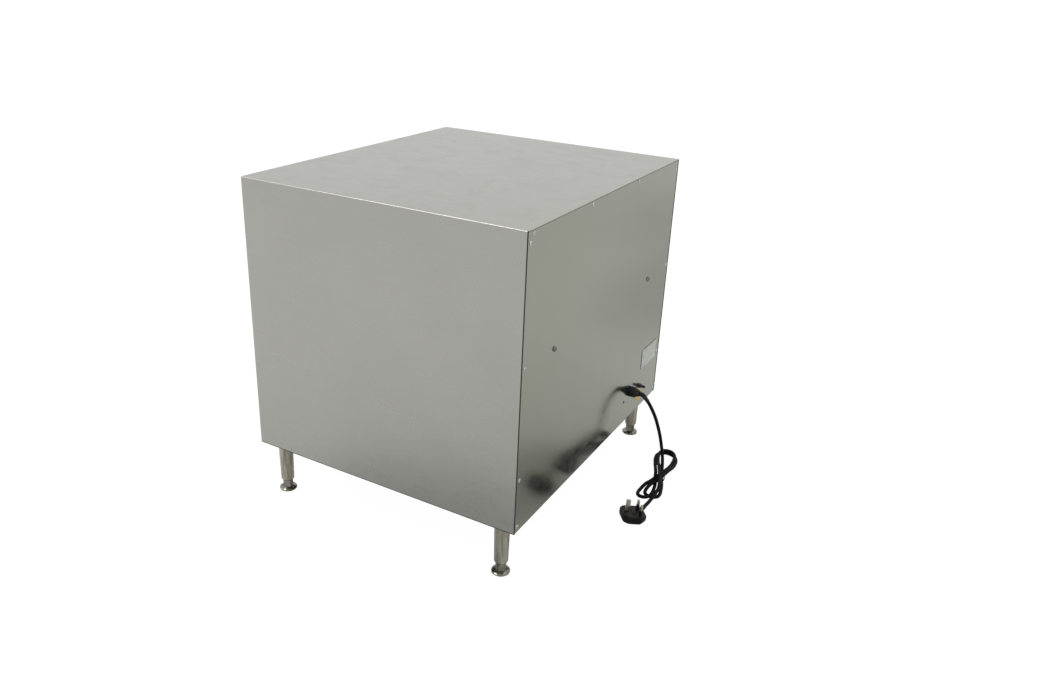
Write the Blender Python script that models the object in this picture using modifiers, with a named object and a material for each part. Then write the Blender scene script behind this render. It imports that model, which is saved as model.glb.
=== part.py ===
"""UV sterilizer cabinet: a stainless steel cabinet on four adjustable legs, with a windowed front door.

The frame has its origin on the floor at the centre of the cabinet's box. The door faces -Y, the
service panel with the mains lead faces +Y, and +Z is up. All sizes are in metres.
"""

import math

import bmesh
import bpy
from mathutils import Matrix, Vector

# Driving dimensions
WIDTH = 0.610
DEPTH = 0.535
BODY_HEIGHT = 0.495
LEG_HEIGHT = 0.100
HANDLE_REACH = 0.038
STUD_REACH = 0.012
SHEET = 0.0012
PLATE = 0.0015
GAP = 0.0003
FOLD_RADIUS = 0.0022
CUTTER = 0.020
OVERLAP = 0.001
EDGE_ROUNDING = 0.002

# Planes worked out from them
SIDE = WIDTH / 2
REAR = (DEPTH + HANDLE_REACH - STUD_REACH) / 2
FRONT = REAR - DEPTH
BASE = LEG_HEIGHT
TOP = LEG_HEIGHT + BODY_HEIGHT
INNER_SIDE = SIDE - SHEET
INNER_TOP = TOP - SHEET

# Front of the cabinet
RETURN_WIDTH = 0.018
RAIL_TOP = BASE + 0.018
FASCIA_HEIGHT = 0.0717
DOOR_GAP = 0.003
DOOR_THICK = 0.022
DOOR_SIDE = SIDE - RETURN_WIDTH - DOOR_GAP
DOOR_LOW = RAIL_TOP + DOOR_GAP
FASCIA_TOP = TOP - RETURN_WIDTH - GAP
FASCIA_LOW = FASCIA_TOP - FASCIA_HEIGHT
DOOR_HIGH = FASCIA_LOW - DOOR_GAP
DOOR_RAIL = 0.055
DOOR_EDGE = 0.0015
DOOR_BACK = FRONT + DOOR_THICK
PANE_THICK = 0.004

# Chamber liner
GASKET_THICK = 0.006
GASKET_WIDTH = 0.0095
MOUTH_FRONT = DOOR_BACK + GAP + GASKET_THICK + GAP
MOUTH_BACK = MOUTH_FRONT + PLATE
CHAMBER_SIDE = 0.260
CHAMBER_LOW = 0.140
CHAMBER_HIGH = 0.470
LINER = 0.001
CHAMBER_FRONT = MOUTH_BACK + GAP
CHAMBER_BACK = REAR - 0.0655

# Rear service panel
PANEL_RECESS = 0.001
PANEL_SEAM = 0.0013
PANEL_OUT = REAR - PANEL_RECESS
PANEL_IN = PANEL_OUT - SHEET
REAR_FLANGE = 0.018
GLAND_X = -0.166
GLAND_Z = BASE + 0.055
GLAND_RADIUS = 0.0105
GLAND_REACH = 0.018
GLAND_THREAD = 0.008
GLAND_COLLAR = 0.009
GLAND_DOME_RADII = (0.0098, 0.0055)
GLAND_INSIDE = 0.010
LOCKNUT_THICK = 0.006
FIXING_X = 0.198
FIXING_Z = BASE + 0.281
FIXING_RADII = (0.0050, 0.0036)
FIXING_HEIGHT = 0.0022
FIXING_SOCKET_RADIUS = 0.0018
FIXING_SOCKET_FLOOR = 0.0008
STUD_X = -0.2095
STUD_Z = BASE + 0.050
STUD_RADIUS = 0.0028
STUD_NUT_RADIUS = 0.0052
STUD_NUT_HEIGHT = 0.004
LABEL_X = (-0.287, -0.2085)
LABEL_Z = (BASE + 0.087, BASE + 0.127)
LABEL_THICK = 0.0005

# Legs and adjustable feet
LEG_INSET_X = 0.0255
LEG_INSET_Y = 0.036
LEG_TOP_RADIUS = 0.0132
LEG_LOW_RADIUS = 0.0118
LEG_LOW = 0.0205
LEG_CHAMFER = (0.0015, 0.0025)
LEG_BORE_TOP = 0.066
FOOT_STEM_RADIUS = 0.0060
FOOT_STEM_TOP = 0.062
FOOT_DISC_RADIUS = 0.0157
FOOT_NECK_RADIUS = 0.0086
FOOT_SHOULDER_RADIUS = 0.0094
FOOT_PROFILE = (
    (FOOT_NECK_RADIUS, 0.0085),
    (FOOT_NECK_RADIUS + 0.0006, 0.0062),
    (FOOT_DISC_RADIUS - 0.0014, 0.0042),
    (FOOT_DISC_RADIUS, 0.0032),
    (FOOT_DISC_RADIUS, 0.0008),
    (FOOT_DISC_RADIUS - 0.0008, 0.0),
)
BORE_CLEARANCE = 0.0001

# Door hinges and handle
HINGE_X = -(DOOR_SIDE + DOOR_GAP / 2)
HINGE_Y = FRONT - 0.0045
HINGE_LENGTH = 0.060
KNUCKLE_RADIUS = 0.0042
HINGE_PIN_RADIUS = 0.0015
HINGE_LEAF_REACH = 0.0165
HINGE_TAB = 0.002
HINGE_PIN_INSET = 0.001
HINGE_CENTRES = {"top": 0.440, "bottom": 0.182}
HANDLE_X = 0.252
HANDLE_Z = (0.235, 0.385)
HANDLE_ROD = 0.005
HANDLE_CORNER = 0.012
STRIKE_X = (0.2745, 0.2830)
STRIKE_Z = 0.311
STRIKE_HALF_HEIGHT = 0.016
STRIKE_FACE = 0.0012
CATCH_X = (0.2740, 0.2835)
CATCH_HALF_HEIGHT = 0.018
CATCH_FRONT = 0.0015
PANE_LIP = 0.004
PANE_STEP = 0.004
GASKET_SIDE_MARGIN = 0.0025
GASKET_END_MARGIN = 0.0015

# Controls in the fascia
CONTROL_Z = (FASCIA_LOW + FASCIA_TOP) / 2
SWITCH_X = 0.215
LENS_X = 0.150
TIMER_X = 0.060
SWITCH_HALF = (0.0105, 0.0145)
SWITCH_RIM = 0.002
SWITCH_FACE = 0.0022
SWITCH_DEPTH = 0.022
SWITCH_WELL = 0.010
ROCKER_INSET = 0.0026
ROCKER_PROUD = 0.0068
ROCKER_WAIST = 0.0052
ROCKER_BACK = 0.0032
LENS_RADIUS = 0.006
LENS_DEPTH = 0.012
LENS_CAP_RADII = (0.0075, 0.0050)
LENS_CAP_HEIGHT = 0.004
TIMER_HALF = 0.020
TIMER_DEPTH = 0.034
TIMER_SHAFT_RADIUS = 0.003
KNOB_RADIUS = 0.019
KNOB_END_RADIUS = 0.016
KNOB_DEPTH = 0.018
KNOB_ROOT = 0.0012
KNOB_RIB_HALF = 0.0015
KNOB_RIB_ROOT = 0.004
KNOB_RIB_PROUD = 0.0004
KNOB_RIB_HEIGHT = 0.0012
ROCKER_TILT = 12.0
ROCKER_AXLE_Y = FRONT + 0.0048
PLUNGER_X = 0.2785
PLUNGER_Z = 0.455
PLUNGER_RADIUS = 0.003

# Inside the chamber
SHELF_LEDGES = (0.235, 0.345)
SHELF_SIDE = 0.2580
SHELF_FRONT = -0.185
SHELF_BACK = 0.195
RACK_LOW = 0.170
RACK_HIGH = 0.400
RACK_HALF_DEPTH = 0.150
LEDGE_WIDTH = 0.016
LEDGE_INSET = 0.004
SHELF_ROD = 0.0025
SHELF_WIRE = 0.0012
SHELF_WIRES = 16
SHELF_CHAMFER = 0.0011
WIRE_RISE = 0.0006
SPINE_Y = 0.005
SPINE_DROP = 0.0008
TUBE_Y = 0.040
TUBE_Z = 0.444
TUBE_RADIUS = 0.013
TUBE_HALF = 0.2185
TUBE_CAP = 0.018
TUBE_CAP_STEP = 0.001
TUBE_CAP_PROUD = 0.0006
HOLDER_DEPTH = 0.014
HOLDER_HALF_WIDTH = 0.015
HOLDER_DROP = 0.017

# Behind and above the liner
BALLAST_X = (-0.190, -0.050)
BALLAST_Y = (0.020, 0.062)
BALLAST_HEIGHT = 0.030
STARTER_X = (0.010, 0.048)
STARTER_Y = 0.041
STARTER_RADIUS = 0.0107
STARTER_RISE = 0.011
TERMINAL_X = (-0.152, -0.100)
TERMINAL_Z = (0.205, 0.221)
TERMINAL_DEPTH = 0.018
TERMINAL_WELLS = (-0.1490, -0.1322, -0.1154)
TERMINAL_WELL_WIDTH = 0.0125
TERMINAL_WELL_FLOOR = 0.012
TERMINAL_WELL_INSET = 0.003
INTERLOCK_HALF = (0.009, 0.012)
INTERLOCK_DEPTH = 0.024
PLUNGER_BORE_DEPTH = 0.016
PLUNGER_TAIL = 0.011

# Mains lead, hank and plug
CORD_RADIUS = 0.0034
HANK_HALF_LENGTH = 0.066
HANK_RADIUS = 0.0270
HANK_HEIGHT = 0.0205
HANK_CENTRE = (-0.141, 0.3645)
HANK_HEADING = math.radians(8.0)
LEAD_ROUTE = (
    (-0.1660, 0.2995, 0.1550),
    (-0.1661, 0.3045, 0.1536),
    (-0.1667, 0.3099, 0.1488),
    (-0.1697, 0.3195, 0.1349),
    (-0.1735, 0.3308, 0.1124),
    (-0.1780, 0.3390, 0.0868),
    (-0.1830, 0.3440, 0.0637),
    (-0.1866, 0.3474, 0.0430),
    (-0.1864, 0.3506, 0.0285),
)
TAIL_ROUTE = (
    (-0.0455, 0.3828, 0.0078),
    (-0.0400, 0.3824, 0.0070),
    (-0.0330, 0.3818, 0.0066),
    (-0.0240, 0.3810, 0.0066),
    (-0.0150, 0.3803, 0.0070),
    (-0.0060, 0.3796, 0.0077),
    (0.0033, 0.3789, 0.0083),
)
PLUG_CENTRE = (0.0297, 0.3746)
PLUG_HEADING = math.radians(125.0)
PLUG_LEAN = math.radians(7.8)
PLUG_HALF_WIDTH = 0.0228
PLUG_HALF_LENGTH = 0.0222
PLUG_THICK = 0.0185
PLUG_CORNER = 0.0140
PLUG_SHOULDER = 0.0100
PLUG_LAYERS = (
    (0.0, 0.55),
    (0.0012, 0.72),
    (0.0035, 0.87),
    (0.0070, 0.96),
    (0.0100, 1.0),
    (PLUG_THICK - 0.0015, 1.0),
    (PLUG_THICK, 0.96),
)
PIN_ROW = 0.0111
PIN_EDGE = 0.0006
PINS = {
    "plug_earth_pin": (-PIN_ROW, 0.0, 0.0040, 0.0020, 0.0227),
    "plug_live_pin": (PIN_ROW, -PIN_ROW, 0.0020, 0.0032, 0.0177),
    "plug_neutral_pin": (PIN_ROW, PIN_ROW, 0.0020, 0.0032, 0.0177),
}

STEEL = ((0.60, 0.60, 0.57), 0.38, 1.0)
BRIGHT = ((0.66, 0.66, 0.62), 0.18, 1.0)
NICKEL = ((0.62, 0.60, 0.54), 0.22, 1.0)
ALUMINIUM = ((0.66, 0.67, 0.68), 0.35, 1.0)
BLACK = ((0.012, 0.012, 0.013), 0.45, 0.0)
RUBBER = ((0.02, 0.02, 0.02), 0.70, 0.0)
TINT = ((0.10, 0.16, 0.25), 0.05, 0.0)
WHITE = ((0.80, 0.80, 0.78), 0.45, 0.0)
RED = ((0.60, 0.03, 0.02), 0.30, 0.0)


def clear_scene():
    for obj in list(bpy.data.objects):
        bpy.data.objects.remove(obj, do_unlink=True)


def collection(name):
    made = bpy.data.collections.new(name)
    bpy.context.scene.collection.children.link(made)
    return made


def material(name, look):
    found = bpy.data.materials.get(name)
    if found:
        return found
    colour, roughness, metallic = look
    made = bpy.data.materials.new(name)
    made.use_nodes = True
    shader = made.node_tree.nodes["Principled BSDF"]
    shader.inputs["Base Color"].default_value = (*colour, 1.0)
    shader.inputs["Roughness"].default_value = roughness
    shader.inputs["Metallic"].default_value = metallic
    return made


def add_part(name, mesh, finish, look):
    obj = bpy.data.objects.new(name, mesh)
    mesh.materials.clear()
    mesh.materials.append(material(finish, look))
    parts.objects.link(obj)
    return obj


def add_cutter(name, mesh):
    obj = bpy.data.objects.new(name, mesh)
    obj.hide_render = True
    obj.display_type = "WIRE"
    cutters.objects.link(obj)
    return obj


def box_mesh(name, low, high):
    """A closed box between two corners."""
    centre = (Vector(low) + Vector(high)) / 2
    size = Vector(high) - Vector(low)
    shape = bmesh.new()
    bmesh.ops.create_cube(shape, size=1.0, matrix=Matrix.Translation(centre) @ Matrix.Diagonal((*size, 1.0)))
    mesh = bpy.data.meshes.new(name)
    shape.to_mesh(mesh)
    shape.free()
    return mesh


def folded_box_mesh(name):
    """The casing's outer box, rounded only at its folds: the top's front and sides and the four uprights."""
    mesh = box_mesh(name, (-SIDE, FRONT, BASE), (SIDE, REAR, TOP))
    shape = bmesh.new()
    shape.from_mesh(mesh)
    folds = []
    for edge in shape.edges:
        middle = (edge.verts[0].co + edge.verts[1].co) / 2
        at_top = abs(middle.z - TOP) < GAP
        at_front = abs(middle.y - FRONT) < GAP
        at_side = abs(abs(middle.x) - SIDE) < GAP
        at_rear = abs(middle.y - REAR) < GAP
        if (at_top and (at_side or at_front)) or (at_side and (at_front or at_rear)):
            folds.append(edge)
    bmesh.ops.bevel(shape, geom=folds, offset=FOLD_RADIUS, segments=3, profile=0.5, affect="EDGES")
    shape.to_mesh(mesh)
    shape.free()
    return mesh


def boxes_mesh(name, boxes):
    """Several separate boxes in one mesh, for a Boolean operand."""
    joined = bmesh.new()
    for low, high in boxes:
        joined.from_mesh(box_mesh(name, low, high))
    mesh = bpy.data.meshes.new(name)
    joined.to_mesh(mesh)
    joined.free()
    return mesh


def rod_mesh(name, start, end, radius, sides=24, end_radius=None):
    """A round rod, or a cone when end_radius is given, between two points."""
    start = Vector(start)
    along = Vector(end) - start
    turn = along.to_track_quat("Z", "Y").to_matrix().to_4x4()
    shape = bmesh.new()
    bmesh.ops.create_cone(
        shape,
        cap_ends=True,
        segments=sides,
        radius1=radius,
        radius2=radius if end_radius is None else end_radius,
        depth=along.length,
        matrix=Matrix.Translation(start + along / 2) @ turn,
    )
    mesh = bpy.data.meshes.new(name)
    shape.to_mesh(mesh)
    shape.free()
    return mesh


def rods_mesh(name, rods, radius, sides=8):
    joined = bmesh.new()
    for start, end in rods:
        joined.from_mesh(rod_mesh(name, start, end, radius, sides))
    mesh = bpy.data.meshes.new(name)
    joined.to_mesh(mesh)
    joined.free()
    return mesh


def boolean(obj, other, operation):
    step = obj.modifiers.new(f"{operation.lower()} {other.name}", "BOOLEAN")
    step.operation = operation
    step.solver = "EXACT"
    step.object = other


def cut(obj, mesh):
    boolean(obj, add_cutter(mesh.name, mesh), "DIFFERENCE")


def join(obj, mesh):
    boolean(obj, add_cutter(mesh.name, mesh), "UNION")


def soften(obj, width, segments=2, angle=50.0):
    bevel = obj.modifiers.new("edges", "BEVEL")
    bevel.width = width
    bevel.segments = segments
    bevel.limit_method = "ANGLE"
    bevel.angle_limit = math.radians(angle)


def smooth(obj):
    obj.data.shade_smooth()
    obj.data.set_sharp_from_angle(angle=math.radians(35.0))


def turned(name, profile, place, finish, look, steps=32):
    """A solid of revolution about Z from (radius, height) points, given top to bottom on the outside."""
    mesh = bpy.data.meshes.new(name)
    shape = bmesh.new()
    points = [shape.verts.new((radius, 0.0, height)) for radius, height in profile]
    for first, second in zip(points, points[1:]):
        shape.edges.new((first, second))
    shape.to_mesh(mesh)
    shape.free()
    obj = add_part(name, mesh, finish, look)
    obj.location = place
    screw = obj.modifiers.new("turn", "SCREW")
    screw.steps = steps
    screw.render_steps = steps
    screw.use_merge_vertices = True
    screw.merge_threshold = 0.00001
    screw.use_smooth_shade = True
    return obj


def flat_outline(name, points, low, high, finish, look):
    """A closed outline in the XY plane, given thickness between two heights."""
    curve = bpy.data.curves.new(name, "CURVE")
    curve.dimensions = "2D"
    curve.fill_mode = "BOTH"
    curve.extrude = (high - low) / 2
    spline = curve.splines.new("POLY")
    spline.points.add(len(points) - 1)
    for point, (x, y) in zip(spline.points, points):
        point.co = (x, y, 0.0, 1.0)
    spline.use_cyclic_u = True
    guide = bpy.data.objects.new(name + "_guide", curve)
    guide.location = (0.0, 0.0, (low + high) / 2)
    bpy.context.scene.collection.objects.link(guide)
    return mesh_from_curve(guide, name, finish, look)


def mesh_from_curve(guide, name, finish, look):
    """Turns a curve object into a closed mesh part with welded caps, and removes the curve."""
    bpy.context.view_layer.update()
    evaluated = guide.evaluated_get(bpy.context.evaluated_depsgraph_get())
    mesh = bpy.data.meshes.new_from_object(evaluated)
    shape = bmesh.new()
    shape.from_mesh(mesh)
    bmesh.ops.remove_doubles(shape, verts=shape.verts, dist=0.000001)
    bmesh.ops.recalc_face_normals(shape, faces=shape.faces)
    shape.to_mesh(mesh)
    shape.free()
    obj = add_part(name, mesh, finish, look)
    obj.matrix_world = guide.matrix_world.copy()
    bpy.data.objects.remove(guide, do_unlink=True)
    return obj


def spline_points(route, per_span):
    """Points on the smooth Catmull-Rom curve through a route."""
    knots = [Vector(p) for p in route]
    knots = [2 * knots[0] - knots[1], *knots, 2 * knots[-1] - knots[-2]]
    points = []
    for before, start, end, after in zip(knots, knots[1:], knots[2:], knots[3:]):
        for step in range(per_span):
            t = step / per_span
            points.append(
                0.5
                * (
                    2 * start
                    + (end - before) * t
                    + (2 * before - 5 * start + 4 * end - after) * t**2
                    + (3 * start - before - 3 * end + after) * t**3
                )
            )
    points.append(knots[-2])
    return points


def tube(name, points, radius, finish, look):
    curve = bpy.data.curves.new(name, "CURVE")
    curve.dimensions = "3D"
    curve.bevel_depth = radius
    curve.bevel_resolution = 2
    curve.use_fill_caps = True
    spline = curve.splines.new("POLY")
    spline.points.add(len(points) - 1)
    for point, place in zip(spline.points, points):
        point.co = (*place, 1.0)
    guide = bpy.data.objects.new(name + "_guide", curve)
    bpy.context.scene.collection.objects.link(guide)
    return mesh_from_curve(guide, name, finish, look)


def arc(centre, radius, start, end, steps):
    """Points on an arc, angles in degrees."""
    angles = [math.radians(start + (end - start) * i / steps) for i in range(steps + 1)]
    return [(centre[0] + radius * math.cos(a), centre[1] + radius * math.sin(a)) for a in angles]


def placed(points, centre, heading):
    """Moves outline points from a piece's own axes to the floor plan."""
    c, s = math.cos(heading), math.sin(heading)
    return [(centre[0] + c * x - s * y, centre[1] + s * x + c * y) for x, y in points]


def build_shell():
    """The folded top and sides, the base, and the rear frame and service panel."""
    wrap = add_part("outer_wrap", folded_box_mesh("outer_wrap"), "steel", STEEL)
    hollow_low = (-INNER_SIDE, FRONT + SHEET, BASE - CUTTER)
    cut(wrap, box_mesh("wrap_hollow", hollow_low, (INNER_SIDE, REAR + CUTTER, INNER_TOP)))
    mouth = SIDE - RETURN_WIDTH
    mouth_low = (-mouth, FRONT - CUTTER, BASE - CUTTER)
    cut(wrap, box_mesh("wrap_mouth", mouth_low, (mouth, FRONT + CUTTER, TOP - RETURN_WIDTH)))

    edge = INNER_SIDE - GAP
    plate_top = BASE + GAP + PLATE
    base = add_part(
        "base_panel",
        box_mesh("base_panel", (-edge, FRONT + SHEET + GAP, BASE + GAP), (edge, PANEL_IN - GAP, plate_top)),
        "steel",
        STEEL,
    )
    rail_side = mouth - GAP
    rail_low = (-rail_side, FRONT, BASE + GAP)
    join(base, box_mesh("base_rail", rail_low, (rail_side, FRONT + 2 * SHEET, RAIL_TOP)))

    ring_out = PANEL_IN - GAP
    ring = add_part(
        "rear_frame",
        box_mesh("rear_frame", (-edge, ring_out - PLATE, plate_top + GAP), (edge, ring_out, INNER_TOP - GAP)),
        "steel",
        STEEL,
    )
    cut(
        ring,
        box_mesh(
            "rear_frame_window",
            (-edge + REAR_FLANGE, ring_out - CUTTER, plate_top + REAR_FLANGE),
            (edge - REAR_FLANGE, ring_out + CUTTER, INNER_TOP - REAR_FLANGE),
        ),
    )

    panel_side = INNER_SIDE - PANEL_SEAM
    panel_high = (panel_side, PANEL_OUT, INNER_TOP - PANEL_SEAM)
    panel_mesh = box_mesh("rear_panel", (-panel_side, PANEL_IN, BASE + GAP), panel_high)
    panel = add_part("rear_panel", panel_mesh, "rear_steel", BRIGHT)
    inside, outside = (GLAND_X, PANEL_IN - CUTTER, GLAND_Z), (GLAND_X, PANEL_IN + CUTTER, GLAND_Z)
    cut(panel, rod_mesh("gland_hole", inside, outside, GLAND_THREAD + GAP))


def build_rear_fittings():
    """The gland, the bonding stud, the two large fixings and the blank rating plate."""

    def gland_place(y):
        return GLAND_X, y, GLAND_Z

    root = PANEL_OUT + GAP
    collar = PANEL_OUT + GLAND_COLLAR
    gland = add_part(
        "cable_gland",
        rod_mesh("cable_gland", gland_place(root), gland_place(collar), GLAND_RADIUS),
        "black_plastic",
        BLACK,
    )
    dome, tip = GLAND_DOME_RADII
    dome_start, dome_end = gland_place(collar - OVERLAP), gland_place(REAR + GLAND_REACH)
    join(gland, rod_mesh("gland_dome", dome_start, dome_end, dome, end_radius=tip))
    thread_start, thread_end = gland_place(PANEL_IN - GLAND_INSIDE), gland_place(root + OVERLAP)
    join(gland, rod_mesh("gland_thread", thread_start, thread_end, GLAND_THREAD))
    nut_start, nut_end = gland_place(PANEL_IN - LOCKNUT_THICK), gland_place(PANEL_IN - GAP)
    join(gland, rod_mesh("gland_locknut", nut_start, nut_end, GLAND_RADIUS + GAP, sides=6))
    smooth(gland)

    stud_start = (STUD_X, root, STUD_Z)
    stud = add_part(
        "bonding_stud",
        rod_mesh("bonding_stud", stud_start, (STUD_X, REAR + STUD_REACH, STUD_Z), STUD_RADIUS, sides=16),
        "dark_metal",
        BLACK,
    )
    nut_end = (STUD_X, root + STUD_NUT_HEIGHT, STUD_Z)
    join(stud, rod_mesh("stud_nut", stud_start, nut_end, STUD_NUT_RADIUS, sides=6))

    base_radius, rim_radius = FIXING_RADII
    for side, x in (("left", FIXING_X), ("right", -FIXING_X)):
        name = f"rear_fixing_{side}"
        end = (x, root + FIXING_HEIGHT, FIXING_Z)
        head = rod_mesh(name, (x, root, FIXING_Z), end, base_radius, end_radius=rim_radius)
        fixing = add_part(name, head, "steel", STEEL)
        socket_low, socket_high = (x, root + FIXING_SOCKET_FLOOR, FIXING_Z), (x, root + CUTTER, FIXING_Z)
        cut(fixing, rod_mesh(name + "_socket", socket_low, socket_high, FIXING_SOCKET_RADIUS, sides=6))

    plate_low, plate_high = (LABEL_X[0], root, LABEL_Z[0]), (LABEL_X[1], root + LABEL_THICK, LABEL_Z[1])
    add_part("rating_plate", box_mesh("rating_plate", plate_low, plate_high), "label", WHITE)


def build_legs():
    """Four tapered legs, each with a threaded foot that ends in a round disc."""
    corners = {
        "rear_right": (-SIDE + LEG_INSET_X, REAR - LEG_INSET_Y),
        "rear_left": (SIDE - LEG_INSET_X, REAR - LEG_INSET_Y),
        "front_right": (-SIDE + LEG_INSET_X, FRONT + LEG_INSET_Y),
        "front_left": (SIDE - LEG_INSET_X, FRONT + LEG_INSET_Y),
    }
    bore = FOOT_STEM_RADIUS + BORE_CLEARANCE
    chamfer_width, chamfer_height = LEG_CHAMFER
    for corner, (x, y) in corners.items():
        turned(
            f"leg_{corner}",
            (
                (0.0, BASE),
                (LEG_TOP_RADIUS, BASE),
                (LEG_LOW_RADIUS, LEG_LOW + chamfer_height),
                (LEG_LOW_RADIUS - chamfer_width, LEG_LOW),
                (bore, LEG_LOW),
                (bore, LEG_BORE_TOP),
                (0.0, LEG_BORE_TOP),
            ),
            (x, y, 0.0),
            "leg_metal",
            NICKEL,
        )
        turned(
            f"foot_{corner}",
            (
                (0.0, FOOT_STEM_TOP),
                (FOOT_STEM_RADIUS, FOOT_STEM_TOP),
                (FOOT_STEM_RADIUS, LEG_LOW - GAP),
                (FOOT_SHOULDER_RADIUS, LEG_LOW - GAP),
                *FOOT_PROFILE,
                (0.0, 0.0),
            ),
            (x, y, 0.0),
            "leg_metal",
            NICKEL,
        )


def build_controls():
    """The fascia over the door with its rocker switch, indicator and clockwork timer."""
    side = SIDE - RETURN_WIDTH - GAP
    fascia = add_part(
        "control_fascia",
        box_mesh("control_fascia", (-side, FRONT, FASCIA_LOW), (side, FRONT + PLATE, FASCIA_TOP)),
        "steel",
        STEEL,
    )
    wide, tall = SWITCH_HALF

    def switch_box(name, margin, near, far):
        """A box round the switch's centre, this much outside its body and between two depths."""
        low = (SWITCH_X - wide - margin, near, CONTROL_Z - tall - margin)
        return box_mesh(name, low, (SWITCH_X + wide + margin, far, CONTROL_Z + tall + margin))

    cut(fascia, switch_box("switch_hole", GAP, FRONT - CUTTER, FRONT + CUTTER))
    for name, x, radius in (("lens_hole", LENS_X, LENS_RADIUS), ("timer_hole", TIMER_X, TIMER_SHAFT_RADIUS)):
        low, high = (x, FRONT - CUTTER, CONTROL_Z), (x, FRONT + CUTTER, CONTROL_Z)
        cut(fascia, rod_mesh(name, low, high, radius + GAP))

    body = switch_box("switch_body", 0.0, FRONT - OVERLAP, FRONT + SWITCH_DEPTH)
    bezel = add_part("switch_body", body, "black_plastic", BLACK)
    join(bezel, switch_box("switch_flange", SWITCH_RIM, FRONT - SWITCH_FACE, FRONT - GAP))
    cut(bezel, switch_box("switch_well", -SWITCH_RIM, FRONT - CUTTER, FRONT + SWITCH_WELL))

    # The rocker turns about an axle across the well. Its two faces meet at a shallow V, and its far half
    # stands proud at rest, which is the off position.
    rocker = rocker_mesh("switch_rocker", SWITCH_X, wide - ROCKER_INSET, tall - ROCKER_INSET)
    add_part("switch_rocker", rocker, "rocker_red", RED)

    lens_back, lens_front = (LENS_X, FRONT + LENS_DEPTH, CONTROL_Z), (LENS_X, FRONT - OVERLAP, CONTROL_Z)
    lens = add_part(
        "indicator_lens",
        rod_mesh("indicator_lens", lens_back, lens_front, LENS_RADIUS),
        "lens",
        RED,
    )
    cap_radius, cap_end_radius = LENS_CAP_RADII
    cap_back, cap_front = (LENS_X, FRONT - GAP, CONTROL_Z), (LENS_X, FRONT - LENS_CAP_HEIGHT, CONTROL_Z)
    join(lens, rod_mesh("lens_cap", cap_back, cap_front, cap_radius, end_radius=cap_end_radius))
    smooth(lens)

    body_front = FRONT + PLATE + GAP
    timer_low = (TIMER_X - TIMER_HALF, body_front, CONTROL_Z - TIMER_HALF)
    timer_high = (TIMER_X + TIMER_HALF, body_front + TIMER_DEPTH, CONTROL_Z + TIMER_HALF)
    timer = add_part("timer_body", box_mesh("timer_body", timer_low, timer_high), "grey_plastic", WHITE)
    soften(timer, EDGE_ROUNDING)

    knob_root, knob_end = (TIMER_X, FRONT - KNOB_ROOT, CONTROL_Z), (TIMER_X, FRONT - KNOB_DEPTH, CONTROL_Z)
    knob = add_part(
        "timer_knob",
        rod_mesh("timer_knob", knob_root, knob_end, KNOB_RADIUS, sides=32, end_radius=KNOB_END_RADIUS),
        "black_plastic",
        BLACK,
    )
    smooth(knob)
    # The pointer rib runs from the middle of the knob to its rim, so that its setting can be read.
    rib_low = (TIMER_X - KNOB_RIB_HALF, FRONT - KNOB_DEPTH - KNOB_RIB_HEIGHT, CONTROL_Z)
    rib_top = CONTROL_Z + KNOB_RADIUS + KNOB_RIB_PROUD
    join(knob, box_mesh("knob_rib", rib_low, (TIMER_X + KNOB_RIB_HALF, FRONT - KNOB_RIB_ROOT, rib_top)))
    shaft_back, shaft_front = (TIMER_X, FRONT + PLATE, CONTROL_Z), (TIMER_X, FRONT - KNOB_RIB_ROOT, CONTROL_Z)
    join(knob, rod_mesh("knob_shaft", shaft_back, shaft_front, TIMER_SHAFT_RADIUS))


def rocker_mesh(name, x, half_width, half_height):
    """A rocker cap: a shallow V front over an arc about the axle, extruded across its width."""
    tilt = math.radians(ROCKER_TILT)
    radius = half_height * 0.98
    face = [(-radius * 0.96, -ROCKER_PROUD), (0.0, -ROCKER_WAIST), (radius * 0.96, -ROCKER_PROUD)]
    back = [(radius * 0.8, ROCKER_BACK), (-radius * 0.8, ROCKER_BACK)]
    outline = [(-radius, 0.0), *face, (radius, 0.0), *back]
    shape = bmesh.new()
    rings = []
    for across in (x - half_width, x + half_width):
        ring = []
        for up, depth in outline:
            turned_up = up * math.cos(tilt) - depth * math.sin(tilt)
            turned_depth = up * math.sin(tilt) + depth * math.cos(tilt)
            place = (across, ROCKER_AXLE_Y + turned_depth, CONTROL_Z + turned_up)
            ring.append(shape.verts.new(place))
        rings.append(ring)
    shape.faces.new(rings[0])
    shape.faces.new(reversed(rings[1]))
    bmesh.ops.bridge_loops(shape, edges=[e for e in shape.edges if e.is_boundary])
    bmesh.ops.recalc_face_normals(shape, faces=shape.faces)
    mesh = bpy.data.meshes.new(name)
    shape.to_mesh(mesh)
    shape.free()
    return mesh


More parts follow.
